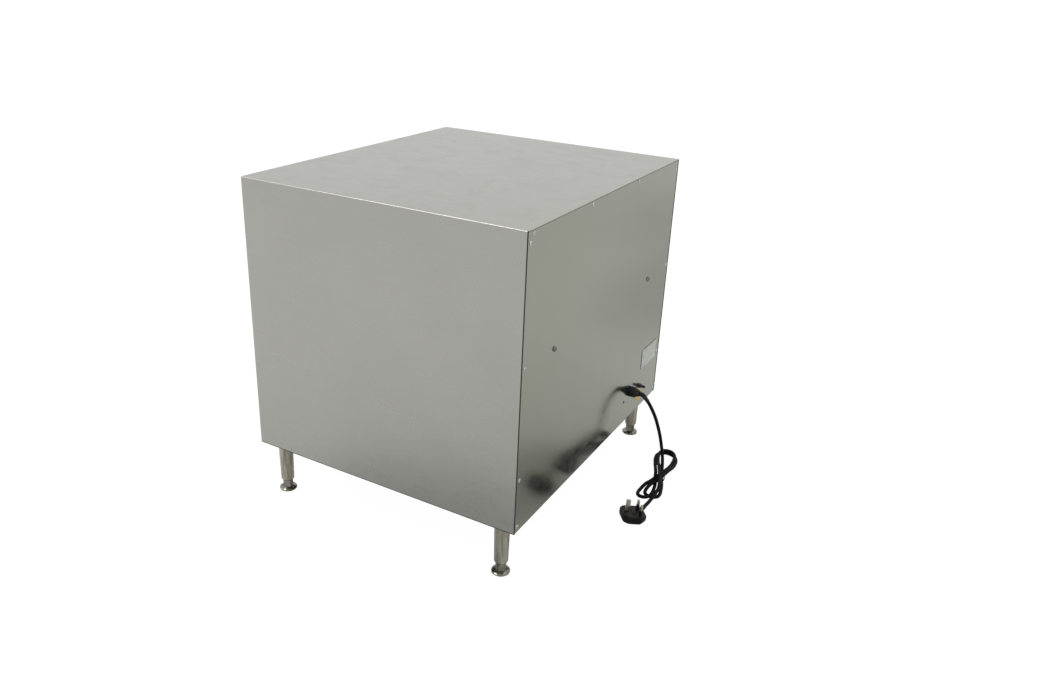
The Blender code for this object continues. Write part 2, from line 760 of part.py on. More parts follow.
def build_chamber():
    """The bright liner, made of flat sheets, and what it holds."""
    low, high, side = CHAMBER_LOW, CHAMBER_HIGH, CHAMBER_SIDE
    front, back = CHAMBER_FRONT, CHAMBER_BACK
    out = side + GAP + LINER
    plates = {
        "chamber_floor": ((-out, front, low - LINER), (out, back + GAP + LINER, low)),
        "chamber_roof": ((-out, front, high), (out, back + GAP + LINER, high + LINER)),
        "chamber_side_left": ((side + GAP, front, low + GAP), (out, back + GAP + LINER, high - GAP)),
        "chamber_side_right": ((-out, front, low + GAP), (-side - GAP, back + GAP + LINER, high - GAP)),
        "chamber_back": ((-side, back, low + GAP), (side, back + LINER, high - GAP)),
    }
    for name, (corner, opposite) in plates.items():
        add_part(name, box_mesh(name, corner, opposite), "liner", BRIGHT)

    edge = INNER_SIDE - GAP
    plate_top = BASE + GAP + PLATE
    mouth_low, mouth_high = (-edge, MOUTH_FRONT, plate_top + GAP), (edge, MOUTH_BACK, FASCIA_LOW - DOOR_GAP)
    mouth = add_part("chamber_mouth", box_mesh("chamber_mouth", mouth_low, mouth_high), "liner", BRIGHT)
    ahead, behind = MOUTH_FRONT - CUTTER, MOUTH_BACK + CUTTER
    cut(mouth, box_mesh("mouth_opening", (-side, ahead, low), (side, behind, high)))
    hole_start, hole_end = (PLUNGER_X, ahead, PLUNGER_Z), (PLUNGER_X, behind, PLUNGER_Z)
    cut(mouth, rod_mesh("plunger_hole", hole_start, hole_end, PLUNGER_RADIUS + GAP))

    for hand, sign in (("left", 1.0), ("right", -1.0)):
        name = f"shelf_rack_{hand}"
        wall = sign * (side - GAP)
        face = sign * (side - GAP - SHEET)
        lip = sign * (side - LEDGE_WIDTH)
        rack_low = (min(wall, face), -RACK_HALF_DEPTH, RACK_LOW)
        rack_high = (max(wall, face), RACK_HALF_DEPTH, RACK_HIGH)
        rack = add_part(name, box_mesh(name, rack_low, rack_high), "liner", BRIGHT)
        ledges = []
        for z in SHELF_LEDGES:
            ledge_low = (min(wall, lip), SHELF_FRONT + LEDGE_INSET, z - SHEET)
            ledges.append((ledge_low, (max(wall, lip), SHELF_BACK - LEDGE_INSET, z)))
        join(rack, boxes_mesh(name + "_ledges", ledges))

    for level, ledge in zip(("lower", "upper"), SHELF_LEDGES):
        build_shelf(f"shelf_{level}", ledge + GAP)

    cap_end = TUBE_HALF - TUBE_CAP
    lamp = turned(
        "uv_tube",
        (
            (0.0, TUBE_HALF),
            (TUBE_RADIUS, TUBE_HALF),
            (TUBE_RADIUS, cap_end),
            (TUBE_RADIUS - TUBE_CAP_PROUD, cap_end - TUBE_CAP_STEP),
            (TUBE_RADIUS - TUBE_CAP_PROUD, TUBE_CAP_STEP - cap_end),
            (TUBE_RADIUS, -cap_end),
            (TUBE_RADIUS, -TUBE_HALF),
            (0.0, -TUBE_HALF),
        ),
        (0.0, TUBE_Y, TUBE_Z),
        "uv_glass",
        WHITE,
        steps=24,
    )
    lamp.rotation_euler = (0.0, math.radians(90.0), 0.0)
    for hand, sign in (("left", 1.0), ("right", -1.0)):
        name = f"lampholder_{hand}"
        inner = sign * (TUBE_HALF + GAP)
        outer = sign * (TUBE_HALF + HOLDER_DEPTH)
        holder_low = (min(inner, outer), TUBE_Y - HOLDER_HALF_WIDTH, TUBE_Z - HOLDER_DROP)
        holder_high = (max(inner, outer), TUBE_Y + HOLDER_HALF_WIDTH, CHAMBER_HIGH - GAP)
        holder = add_part(name, box_mesh(name, holder_low, holder_high), "white_plastic", WHITE)
        soften(holder, EDGE_ROUNDING)


def build_shelf(name, low):
    """A wire shelf: a square rim of round rod with cross wires welded between its long sides."""
    z = low + SHELF_ROD
    x = SHELF_SIDE - SHELF_ROD
    front, back = SHELF_FRONT + SHELF_ROD, SHELF_BACK - SHELF_ROD
    outside_low, outside_high = (-SHELF_SIDE, SHELF_FRONT, low), (SHELF_SIDE, SHELF_BACK, z + SHELF_ROD)
    shelf = add_part(name, box_mesh(name, outside_low, outside_high), "shelf_wire", BRIGHT)
    open_low = (-x + SHELF_ROD, front + SHELF_ROD, z - CUTTER)
    cut(shelf, box_mesh(name + "_opening", open_low, (x - SHELF_ROD, back - SHELF_ROD, z + CUTTER)))
    soften(shelf, SHELF_CHAMFER, segments=1)
    runs = []
    for i in range(SHELF_WIRES):
        across = -x + 2 * x * (i + 1) / (SHELF_WIRES + 1)
        runs.append(((across, front, z + WIRE_RISE), (across, back, z + WIRE_RISE)))
    join(shelf, rods_mesh(name + "_wires", runs, SHELF_WIRE, sides=6))
    spine = ((-x, SPINE_Y, z - SPINE_DROP), (x, SPINE_Y, z - SPINE_DROP))
    join(shelf, rods_mesh(name + "_spine", [spine], SHELF_WIRE, sides=6))


def build_services():
    """The ballast, starter, terminal block and the door interlock behind the liner."""
    roof = CHAMBER_HIGH + LINER + GAP
    ballast_low = (BALLAST_X[0], BALLAST_Y[0], roof)
    ballast_high = (BALLAST_X[1], BALLAST_Y[1], roof + BALLAST_HEIGHT)
    ballast = add_part("ballast", box_mesh("ballast", ballast_low, ballast_high), "ballast_case", STEEL)
    soften(ballast, EDGE_ROUNDING)
    starter_start, starter_end = [(x, STARTER_Y, roof + STARTER_RISE) for x in STARTER_X]
    starter_mesh = rod_mesh("lamp_starter", starter_start, starter_end, STARTER_RADIUS)
    smooth(add_part("lamp_starter", starter_mesh, "white_plastic", WHITE))

    back = CHAMBER_BACK + LINER + GAP
    low, high = TERMINAL_Z
    block_mesh = box_mesh(
        "terminal_block",
        (TERMINAL_X[0], back + GAP, low),
        (TERMINAL_X[1], back + TERMINAL_DEPTH, high),
    )
    block = add_part("terminal_block", block_mesh, "white_plastic", WHITE)
    wells = []
    for x in TERMINAL_WELLS:
        well_low = (x, back + TERMINAL_WELL_FLOOR, low + TERMINAL_WELL_INSET)
        wells.append((well_low, (x + TERMINAL_WELL_WIDTH, back + CUTTER, high - TERMINAL_WELL_INSET)))
    cut(block, boxes_mesh("terminal_wells", wells))

    rear_of_mouth = MOUTH_BACK + GAP
    half_width, half_height = INTERLOCK_HALF
    switch_mesh = box_mesh(
        "interlock_body",
        (PLUNGER_X - half_width, rear_of_mouth, PLUNGER_Z - half_height),
        (PLUNGER_X + half_width, rear_of_mouth + INTERLOCK_DEPTH, PLUNGER_Z + half_height),
    )
    switch = add_part("interlock_body", switch_mesh, "black_plastic", BLACK)
    bore_start = (PLUNGER_X, rear_of_mouth - CUTTER, PLUNGER_Z)
    bore_end = (PLUNGER_X, rear_of_mouth + PLUNGER_BORE_DEPTH, PLUNGER_Z)
    cut(switch, rod_mesh("plunger_bore", bore_start, bore_end, PLUNGER_RADIUS + BORE_CLEARANCE))
    tail = (PLUNGER_X, rear_of_mouth + PLUNGER_TAIL, PLUNGER_Z)
    tip = (PLUNGER_X, DOOR_BACK + GAP, PLUNGER_Z)
    plunger_mesh = rod_mesh("interlock_plunger", tail, tip, PLUNGER_RADIUS)
    smooth(add_part("interlock_plunger", plunger_mesh, "white_plastic", WHITE))


def build_door():
    """The door with its tinted pane, gasket, handle, strike and catch."""
    frame = add_part(
        "door_frame",
        box_mesh("door_frame", (-DOOR_SIDE, FRONT, DOOR_LOW), (DOOR_SIDE, DOOR_BACK, DOOR_HIGH)),
        "door_aluminium",
        ALUMINIUM,
    )
    soften(frame, DOOR_EDGE)
    pane_side = DOOR_SIDE - DOOR_RAIL
    pane_low, pane_high = DOOR_LOW + DOOR_RAIL, DOOR_HIGH - DOOR_RAIL
    step = FRONT + PANE_STEP
    cut(
        frame,
        box_mesh(
            "window_opening",
            (-pane_side + PANE_LIP, FRONT - CUTTER, pane_low + PANE_LIP),
            (pane_side - PANE_LIP, DOOR_BACK + CUTTER, pane_high - PANE_LIP),
        ),
    )
    rebate_low, rebate_high = (-pane_side, step, pane_low), (pane_side, DOOR_BACK + CUTTER, pane_high)
    cut(frame, box_mesh("window_rebate", rebate_low, rebate_high))
    add_part(
        "door_window",
        box_mesh(
            "door_window",
            (-pane_side + GAP, step + GAP, pane_low + GAP),
            (pane_side - GAP, step + GAP + PANE_THICK, pane_high - GAP),
        ),
        "tinted_pane",
        TINT,
    )

    inner = CHAMBER_SIDE + GASKET_SIDE_MARGIN
    outer = inner + GASKET_WIDTH
    low, high = CHAMBER_LOW - GASKET_END_MARGIN, CHAMBER_HIGH + GASKET_END_MARGIN
    gasket = add_part(
        "door_gasket",
        box_mesh(
            "door_gasket",
            (-outer, DOOR_BACK + GAP, low - GASKET_WIDTH),
            (outer, DOOR_BACK + GAP + GASKET_THICK, high + GASKET_WIDTH),
        ),
        "gasket",
        RUBBER,
    )
    opening_low, opening_high = (-inner, DOOR_BACK - CUTTER, low), (inner, DOOR_BACK + CUTTER, high)
    cut(gasket, box_mesh("gasket_opening", opening_low, opening_high))

    low_z, high_z = HANDLE_Z
    grip = FRONT - HANDLE_REACH + HANDLE_ROD
    foot = FRONT - GAP
    corner = HANDLE_CORNER
    bends = [(HANDLE_X, foot, low_z)]
    bends += [(HANDLE_X, y, z) for y, z in arc((grip + corner, low_z + corner), corner, 270.0, 180.0, 6)]
    bends += [(HANDLE_X, y, z) for y, z in arc((grip + corner, high_z - corner), corner, 180.0, 90.0, 6)]
    bends += [(HANDLE_X, foot, high_z)]
    smooth(tube("door_handle", bends, HANDLE_ROD, "handle_steel", BRIGHT))

    strike_low = (STRIKE_X[0], DOOR_BACK + GAP, STRIKE_Z - STRIKE_HALF_HEIGHT)
    strike_high = (STRIKE_X[1], DOOR_BACK + STRIKE_FACE, STRIKE_Z + STRIKE_HALF_HEIGHT)
    add_part("strike_plate", box_mesh("strike_plate", strike_low, strike_high), "steel", STEEL)
    catch_low = (CATCH_X[0], DOOR_BACK + CATCH_FRONT, STRIKE_Z - CATCH_HALF_HEIGHT)
    catch_high = (CATCH_X[1], MOUTH_FRONT - GAP, STRIKE_Z + CATCH_HALF_HEIGHT)
    add_part("catch_magnet", box_mesh("catch_magnet", catch_low, catch_high), "dark_metal", BLACK)


def build_hinge(place, centre):
    """One lift-off hinge: the cabinet's leaf carries the lower knuckle and the door's leaf the upper one."""
    low, high = centre - HINGE_LENGTH / 2, centre + HINGE_LENGTH / 2
    back = FRONT - GAP
    front = back - PLATE
    clear = KNUCKLE_RADIUS + GAP
    halves = {
        f"hinge_{place}_cabinet_leaf": (-1.0, low, centre - GAP / 2),
        f"hinge_{place}_door_leaf": (1.0, centre + GAP / 2, high),
    }
    for name, (sign, knuckle_low, knuckle_high) in halves.items():
        near = HINGE_X + sign * clear
        far = HINGE_X + sign * HINGE_LEAF_REACH
        leaf_low, leaf_high = (min(near, far), front, low), (max(near, far), back, high)
        leaf = add_part(name, box_mesh(name, leaf_low, leaf_high), "hinge_steel", BRIGHT)
        tab_end = near + sign * HINGE_TAB
        tab_low = (min(HINGE_X, tab_end), front, knuckle_low)
        tab_high = (max(HINGE_X, tab_end), back, knuckle_high)
        join(leaf, box_mesh(name + "_tab", tab_low, tab_high))
        start, end = (HINGE_X, HINGE_Y, knuckle_low), (HINGE_X, HINGE_Y, knuckle_high)
        join(leaf, rod_mesh(name + "_knuckle", start, end, KNUCKLE_RADIUS))
        bore_start, bore_end = (HINGE_X, HINGE_Y, low - CUTTER), (HINGE_X, HINGE_Y, high + CUTTER)
        cut(leaf, rod_mesh(name + "_bore", bore_start, bore_end, HINGE_PIN_RADIUS + BORE_CLEARANCE))
    name = f"hinge_{place}_pin"
    start, end = (HINGE_X, HINGE_Y, low + HINGE_PIN_INSET), (HINGE_X, HINGE_Y, high - HINGE_PIN_INSET)
    smooth(add_part(name, rod_mesh(name, start, end, HINGE_PIN_RADIUS), "hinge_steel", BRIGHT))


def plug_outline():
    """The plug's outline seen along its pins: rounded at one end and shouldered at the lead's end, +X."""
    wide, long = PLUG_HALF_WIDTH, PLUG_HALF_LENGTH
    corner = (-long + PLUG_CORNER, wide - PLUG_CORNER)
    edge = arc((corner[0], -corner[1]), PLUG_CORNER, 180.0, 270.0, 6)
    edge += [(long - PLUG_SHOULDER, -wide), (long, -wide + PLUG_SHOULDER)]
    edge += [(long, wide - PLUG_SHOULDER), (long - PLUG_SHOULDER, wide)]
    return edge + arc(corner, PLUG_CORNER, 90.0, 180.0, 6)


def layered(name, edge, layers, finish, look):
    """A closed solid through scaled copies of an outline, each given as (height, scale), lowest first."""
    shape = bmesh.new()
    rings = [[shape.verts.new((x * scale, y * scale, height)) for x, y in edge] for height, scale in layers]
    shape.faces.new(reversed(rings[0]))
    shape.faces.new(rings[-1])
    for lower, upper in zip(rings, rings[1:]):
        for first in range(len(edge)):
            second = (first + 1) % len(edge)
            shape.faces.new((lower[first], lower[second], upper[second], upper[first]))
    mesh = bpy.data.meshes.new(name)
    shape.to_mesh(mesh)
    shape.free()
    return add_part(name, mesh, finish, look)


def build_cord():
    """The mains lead as it lies: a free drop, a tied hank, a short tail and a three-pin plug on its back."""
    lead = tube("cord_lead", spline_points(LEAD_ROUTE, 2), CORD_RADIUS, "cord", RUBBER)
    smooth(lead)
    outline = arc((HANK_HALF_LENGTH, 0.0), HANK_RADIUS, -90.0, 90.0, 12)
    outline += arc((-HANK_HALF_LENGTH, 0.0), HANK_RADIUS, 90.0, 270.0, 12)
    hank = placed(outline, HANK_CENTRE, HANK_HEADING)
    flat_outline("cord_hank", hank, 0.0, HANK_HEIGHT - GAP, "cord", RUBBER)
    tail = tube("cord_tail", spline_points(TAIL_ROUTE, 2), CORD_RADIUS, "cord", RUBBER)
    smooth(tail)

    # The plug rests on its domed back and leans towards the corner that the lead enters.
    lean = Matrix.Rotation(PLUG_LEAN, 4, Vector((-1.0, 1.0, 0.0)))
    turn = Matrix.Rotation(PLUG_HEADING, 4, "Z") @ lean
    edge = plug_outline()
    heights = []
    for height, scale in PLUG_LAYERS:
        heights += [(turn @ Vector((x * scale, y * scale, height))).z for x, y in edge]
    place = Matrix.Translation((*PLUG_CENTRE, -min(heights))) @ turn
    plug = layered("plug_body", edge, PLUG_LAYERS, "plug", BLACK)
    plug.matrix_world = place
    for name, (along, across, half_along, half_across, length) in PINS.items():
        low = (along - half_along, across - half_across, PLUG_THICK + GAP)
        high = (along + half_along, across + half_across, PLUG_THICK + length)
        pin = add_part(name, box_mesh(name, low, high), "pin_brass", NICKEL)
        pin.matrix_world = place
        soften(pin, PIN_EDGE, segments=1)


clear_scene()
parts = collection("uv_sterilizer_cabinet")
cutters = collection("cutters")
build_shell()
build_rear_fittings()
build_legs()
build_controls()
build_chamber()
build_services()
build_door()
for hinge_place, hinge_centre in HINGE_CENTRES.items():
    build_hinge(hinge_place, hinge_centre)
build_cord()
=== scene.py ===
"""UV sterilizer cabinet: finishes, mains lead, small fittings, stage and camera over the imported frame.

All sizes are in metres. The door faces -Y, the service panel faces +Y and +Z is up.
"""

import math

import bmesh
import bpy
from mathutils import Matrix, Vector


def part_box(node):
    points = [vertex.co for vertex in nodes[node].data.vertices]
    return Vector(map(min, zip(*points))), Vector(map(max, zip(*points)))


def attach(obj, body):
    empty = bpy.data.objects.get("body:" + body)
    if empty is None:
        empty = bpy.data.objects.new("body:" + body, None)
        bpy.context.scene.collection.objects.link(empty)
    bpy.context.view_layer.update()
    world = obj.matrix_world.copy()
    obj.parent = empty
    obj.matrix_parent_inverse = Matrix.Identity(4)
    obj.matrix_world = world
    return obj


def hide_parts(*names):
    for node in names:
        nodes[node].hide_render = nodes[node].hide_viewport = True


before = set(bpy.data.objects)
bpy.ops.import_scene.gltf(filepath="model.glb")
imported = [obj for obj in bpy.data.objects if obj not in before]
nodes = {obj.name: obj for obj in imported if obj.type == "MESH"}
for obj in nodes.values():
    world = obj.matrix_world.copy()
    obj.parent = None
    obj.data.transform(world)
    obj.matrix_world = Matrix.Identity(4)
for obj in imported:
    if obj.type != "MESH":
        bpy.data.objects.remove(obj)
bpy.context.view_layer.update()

# Planes and places shared with the solid model
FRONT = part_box("outer_wrap")[0].y
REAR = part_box("outer_wrap")[1].y
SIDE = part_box("outer_wrap")[1].x
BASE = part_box("outer_wrap")[0].z
PANEL_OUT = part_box("rear_panel")[1].y
DOOR_LOW, DOOR_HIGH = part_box("door_frame")
DOOR_RAIL = 0.055
FASCIA_LOW, FASCIA_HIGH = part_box("control_fascia")
CONTROL_Z = (FASCIA_LOW.z + FASCIA_HIGH.z) / 2
SWITCH_X = 0.215
TIMER_X = 0.060
KNOB_BASE_RADIUS = 0.019
KNOB_END_RADIUS = 0.016
KNOB_ROOT = FRONT - 0.0012
KNOB_FACE = FRONT - 0.018
ROCKER_AXLE_Y = FRONT + 0.0048
ROCKER_TILT = math.radians(12.0)
HINGE_X = -0.2855
HINGE_FACE = FRONT - 0.0018
HINGE_CENTRES = (0.440, 0.182)
HANDLE_X = 0.252
HANDLE_Z = (0.235, 0.385)
TUBE_Y = 0.040
TUBE_Z = 0.444
TUBE_HALF = 0.2185

# The casing's rounded rear edges and bottom edge carry a painted dark reflection. At the rear corners it
# starts EDGE_FROM in from the planes of the side and the rear and is full at EDGE_TO. Along the bottom it
# starts at EDGE_TO, full at EDGE_LOW.
EDGE_FROM = 0.0021
EDGE_TO = 0.0016
EDGE_LOW = 0.0011

# How deep the base of a fitting is sunk in the face that it sits on
SEAT = 0.0001
# How far two pieces that rest on each other are held apart
CLEARANCE = 0.0001

# Widths of the rounded edges and the angle above which two faces meet in a crisp line
EDGE_WIDTH = 0.0003
EDGE_ANGLE = math.radians(32.0)
WELD_DISTANCE = 0.00001
ROUND_CRISP = 38.0
KNOB_CRISP = 50.0

# Mains lead
CORD_RADIUS = 0.0034
LEAD_ROUTE = (
    (-0.1660, 0.2995, 0.1550),
    (-0.1661, 0.3045, 0.1536),
    (-0.1667, 0.3099, 0.1488),
    (-0.1697, 0.3195, 0.1349),
    (-0.1735, 0.3308, 0.1124),
    (-0.1780, 0.3390, 0.0868),
    (-0.1830, 0.3440, 0.0637),
    (-0.1866, 0.3474, 0.0430),
    (-0.1856, 0.3517, 0.0245),
    (-0.1775, 0.3564, 0.0110),
    (-0.1650, 0.3608, 0.0050),
    (-0.1510, 0.3648, 0.0035),
)
TAIL_ROUTE = (
    (-0.0500, 0.3835, 0.0090),
    (-0.0455, 0.3828, 0.0078),
    (-0.0400, 0.3824, 0.0070),
    (-0.0330, 0.3818, 0.0066),
    (-0.0240, 0.3810, 0.0066),
    (-0.0150, 0.3803, 0.0070),
    (-0.0060, 0.3796, 0.0077),
    (0.0033, 0.3789, 0.0083),
    (0.0056, 0.3785, 0.0085),
)
HANK_WAIST = Vector((-0.1260, 0.3690))
HANK_BEND = math.radians(8.0)
PLUG_CENTRE = Vector((0.0297, 0.3746, 0.00185))
PLUG_HEADING = math.radians(125.0)
PLUG_LEAN = math.radians(7.8)
PLUG_THICK = 0.0185
PIN_ROW = 0.0111


# ---------------------------------------------------------------- materials

RANGE_SOCKETS = ("From Min", "From Max", "To Min", "To Max")


class Finish:
    """A material's node tree, with short ways to add and join its nodes."""

    def __init__(self, name, roughness=0.5, metallic=0.0, **constants):
        self.material = bpy.data.materials.new(name)
        self.material.use_nodes = True
        self.tree = self.material.node_tree
        self.shader = self.tree.nodes["Principled BSDF"]
        self.shader.inputs["Roughness"].default_value = roughness
        self.shader.inputs["Metallic"].default_value = metallic
        for socket, value in constants.items():
            self.shader.inputs[socket.replace("_", " ")].default_value = value
        self.place = self.tree.nodes.new("ShaderNodeTexCoord").outputs["Object"]

    def node(self, kind, **settings):
        made = self.tree.nodes.new(kind)
        for setting, value in settings.items():
            setattr(made, setting, value)
        return made

    def join(self, output, socket):
        self.tree.links.new(output, socket)

    def noise(self, stretch, detail=3.0, roughness=0.5, distortion=0.0):
        """Noise with this many features per metre along each axis, from about 0.3 to 0.7."""
        mapping = self.node("ShaderNodeMapping")
        mapping.inputs["Scale"].default_value = stretch
        self.join(self.place, mapping.inputs["Vector"])
        noise = self.node("ShaderNodeTexNoise")
        noise.inputs["Scale"].default_value = 1.0
        noise.inputs["Detail"].default_value = detail
        noise.inputs["Roughness"].default_value = roughness
        noise.inputs["Distortion"].default_value = distortion
        self.join(mapping.outputs["Vector"], noise.inputs["Vector"])
        return noise.outputs["Fac"]

    def remap(self, value, low, high, to_low, to_high):
        remap = self.node("ShaderNodeMapRange")
        self.join(value, remap.inputs["Value"])
        for socket, number in zip(RANGE_SOCKETS, (low, high, to_low, to_high)):
            remap.inputs[socket].default_value = number
        return remap.outputs["Result"]

    def add(self, *values):
        total = values[0]
        for value in values[1:]:
            adding = self.node("ShaderNodeMath", operation="ADD")
            self.join(total, adding.inputs[0])
            self.join(value, adding.inputs[1])
            total = adding.outputs[0]
        return total

    def mix(self, factor, first, second):
        mix = self.node("ShaderNodeMix", data_type="RGBA")
        self.join(factor, mix.inputs[0])
        for socket, colour in zip((mix.inputs[6], mix.inputs[7]), (first, second)):
            if isinstance(colour, tuple):
                socket.default_value = (*colour, 1.0)
            else:
                self.join(colour, socket)
        return mix.outputs[2]

    def edge_reflection_mask(self):
        """Mask of the painted dark reflection: one on the casing's rounded rear edges and along its bottom
        edge, zero elsewhere.
        """
        parts = self.node("ShaderNodeSeparateXYZ")
        self.join(self.place, parts.inputs[0])
        across = self.node("ShaderNodeMath", operation="ABSOLUTE")
        self.join(parts.outputs["X"], across.inputs[0])
        both = self.node("ShaderNodeMath", operation="MULTIPLY")
        for axis, (output, limit) in enumerate(((across.outputs[0], SIDE), (parts.outputs["Y"], REAR))):
            self.join(self.remap(output, limit - EDGE_FROM, limit - EDGE_TO, 0.0, 1.0), both.inputs[axis])
        either = self.node("ShaderNodeMath", operation="MAXIMUM")
        self.join(both.outputs[0], either.inputs[0])
        self.join(self.remap(parts.outputs["Z"], BASE + EDGE_TO, BASE + EDGE_LOW, 0.0, 1.0), either.inputs[1])
        return either.outputs[0]

    def bump(self, height, strength, distance):
        bump = self.node("ShaderNodeBump")
        bump.inputs["Strength"].default_value = strength
        bump.inputs["Distance"].default_value = distance
        self.join(height, bump.inputs["Height"])
        self.join(bump.outputs["Normal"], self.shader.inputs["Normal"])

    def colour(self, output):
        self.join(output, self.shader.inputs["Base Color"])

    def rough(self, output):
        self.join(output, self.shader.inputs["Roughness"])


def shade(colour, amount):
    return tuple(min(channel * amount, 1.0) for channel in colour)


def along(axis, across, lengthwise):
    """Noise scales that draw a grain out along one axis."""
    scales = [across] * 3
    scales["XYZ".index(axis)] = lengthwise
    return tuple(scales)


def brushed(name, colour, roughness, grain, contrast=0.06, cloud=0.05, relief=0.12, smudge=0.05, edge_reflection=None):
    """Rolled and brushed sheet: fine drawn-out lines, broader streaks, slow clouding and handling marks.

    The colour given for the casing's rounded rear edges and bottom edge is a painted dark reflection there.
    """
    finish = Finish(name, roughness, 1.0)
    lines = finish.noise(along(grain, 900.0, 9.0), detail=2.0)
    streaks = finish.noise(along(grain, 130.0, 2.5), detail=3.0)
    clouds = finish.noise((6.0, 6.0, 6.0), detail=3.0, distortion=0.4)
    marks = finish.noise((17.0, 17.0, 17.0), detail=5.0, roughness=0.62, distortion=1.2)
    tone = finish.add(
        finish.remap(lines, 0.3, 0.7, 0.5 - contrast * 4, 0.5 + contrast * 4),
        finish.remap(streaks, 0.3, 0.7, -contrast * 2, contrast * 2),
        finish.remap(clouds, 0.3, 0.7, -cloud * 4, cloud * 4),
    )
    body = finish.mix(tone, shade(colour, 0.88), shade(colour, 1.12))
    # Painted dark reflection on the casing's rounded rear edges and bottom edge
    if edge_reflection:
        body = finish.mix(finish.edge_reflection_mask(), body, edge_reflection)
    finish.colour(body)
    finish.rough(
        finish.add(
            finish.remap(lines, 0.3, 0.7, roughness - 0.04, roughness + 0.04),
            finish.remap(marks, 0.50, 0.64, 0.0, smudge),
        )
    )
    finish.bump(lines, relief, 0.00006)
    return finish.material


def plated(name, colour, dark, roughness, grain="Z"):
    """Cast or turned metal under plating, with soft tarnish drawn along one axis."""
    finish = Finish(name, roughness, 1.0)
    tarnish = finish.noise(along(grain, 150.0, 16.0), detail=4.0, roughness=0.6, distortion=0.5)
    specks = finish.noise((420.0, 420.0, 420.0), detail=2.0)
    amount = finish.add(
        finish.remap(tarnish, 0.40, 0.66, 0.0, 0.85),
        finish.remap(specks, 0.35, 0.65, -0.08, 0.08),
    )
    finish.colour(finish.mix(amount, colour, dark))
    finish.rough(finish.remap(tarnish, 0.35, 0.68, roughness - 0.05, roughness + 0.12))
    finish.bump(specks, 0.10, 0.0001)
    return finish.material


def moulded(name, colour, roughness, grain=1500.0, relief=0.25, wear=0.35, gloss=0.5, **constants):
    """Moulded plastic or rubber: a fine spark-eroded texture, slow patchiness and lighter rubbed spots."""
    finish = Finish(name, roughness, 0.0, Specular_IOR_Level=gloss, **constants)
    texture = finish.noise((grain, grain, grain), detail=2.0)
    patches = finish.noise((38.0, 38.0, 38.0), detail=4.0, roughness=0.6, distortion=0.8)
    light = tuple(channel * (1 + wear) + 0.003 for channel in colour)
    finish.colour(finish.mix(finish.remap(patches, 0.42, 0.70, 0.0, 1.0), colour, light))
    finish.rough(
        finish.add(
            finish.remap(patches, 0.35, 0.70, roughness - 0.06, roughness + 0.09),
            finish.remap(texture, 0.3, 0.7, -0.03, 0.03),
        )
    )
    finish.bump(texture, relief, 0.00008)
    return finish.material


def film(name, colour, other, roughness):
    """A stuck-on film plate: satin face with faint uneven printing density in rows."""
    finish = Finish(name, roughness, 0.0)
    rows = finish.noise((280.0, 280.0, 520.0), detail=2.0, roughness=0.5)
    fibre = finish.noise((900.0, 900.0, 900.0), detail=2.0)
    finish.colour(finish.mix(finish.remap(rows, 0.47, 0.53, 0.0, 1.0), colour, other))
    finish.rough(finish.remap(rows, 0.35, 0.65, roughness - 0.05, roughness + 0.08))
    finish.bump(fibre, 0.08, 0.00005)
    return finish.material


def glazing(name, colour, roughness, transmission, ior):
    """A clear or tinted pane or tube, with faint wiping marks in its gloss."""
    finish = Finish(name, roughness, 0.0, Transmission_Weight=transmission, IOR=ior)
    wipes = finish.noise((26.0, 26.0, 9.0), detail=4.0, roughness=0.6, distortion=1.5)
    density = finish.noise((4.0, 4.0, 4.0), detail=2.0)
    cloudy = finish.remap(density, 0.35, 0.65, 0.0, 1.0)
    finish.colour(finish.mix(cloudy, shade(colour, 0.92), shade(colour, 1.08)))
    finish.rough(finish.remap(wipes, 0.45, 0.70, roughness, roughness + 0.05))
    finish.bump(wipes, 0.03, 0.0002)
    return finish.material


STEEL = (0.423, 0.421, 0.388)
REAR_STEEL = (0.343, 0.352, 0.290)
NICKEL = (0.56, 0.53, 0.45)
# Colour of the painted dark reflection on the casing's rounded rear edges and bottom edge
EDGE_REFLECTION_DARK = (0.05, 0.05, 0.048)
BLACK = (0.006, 0.006, 0.0065)

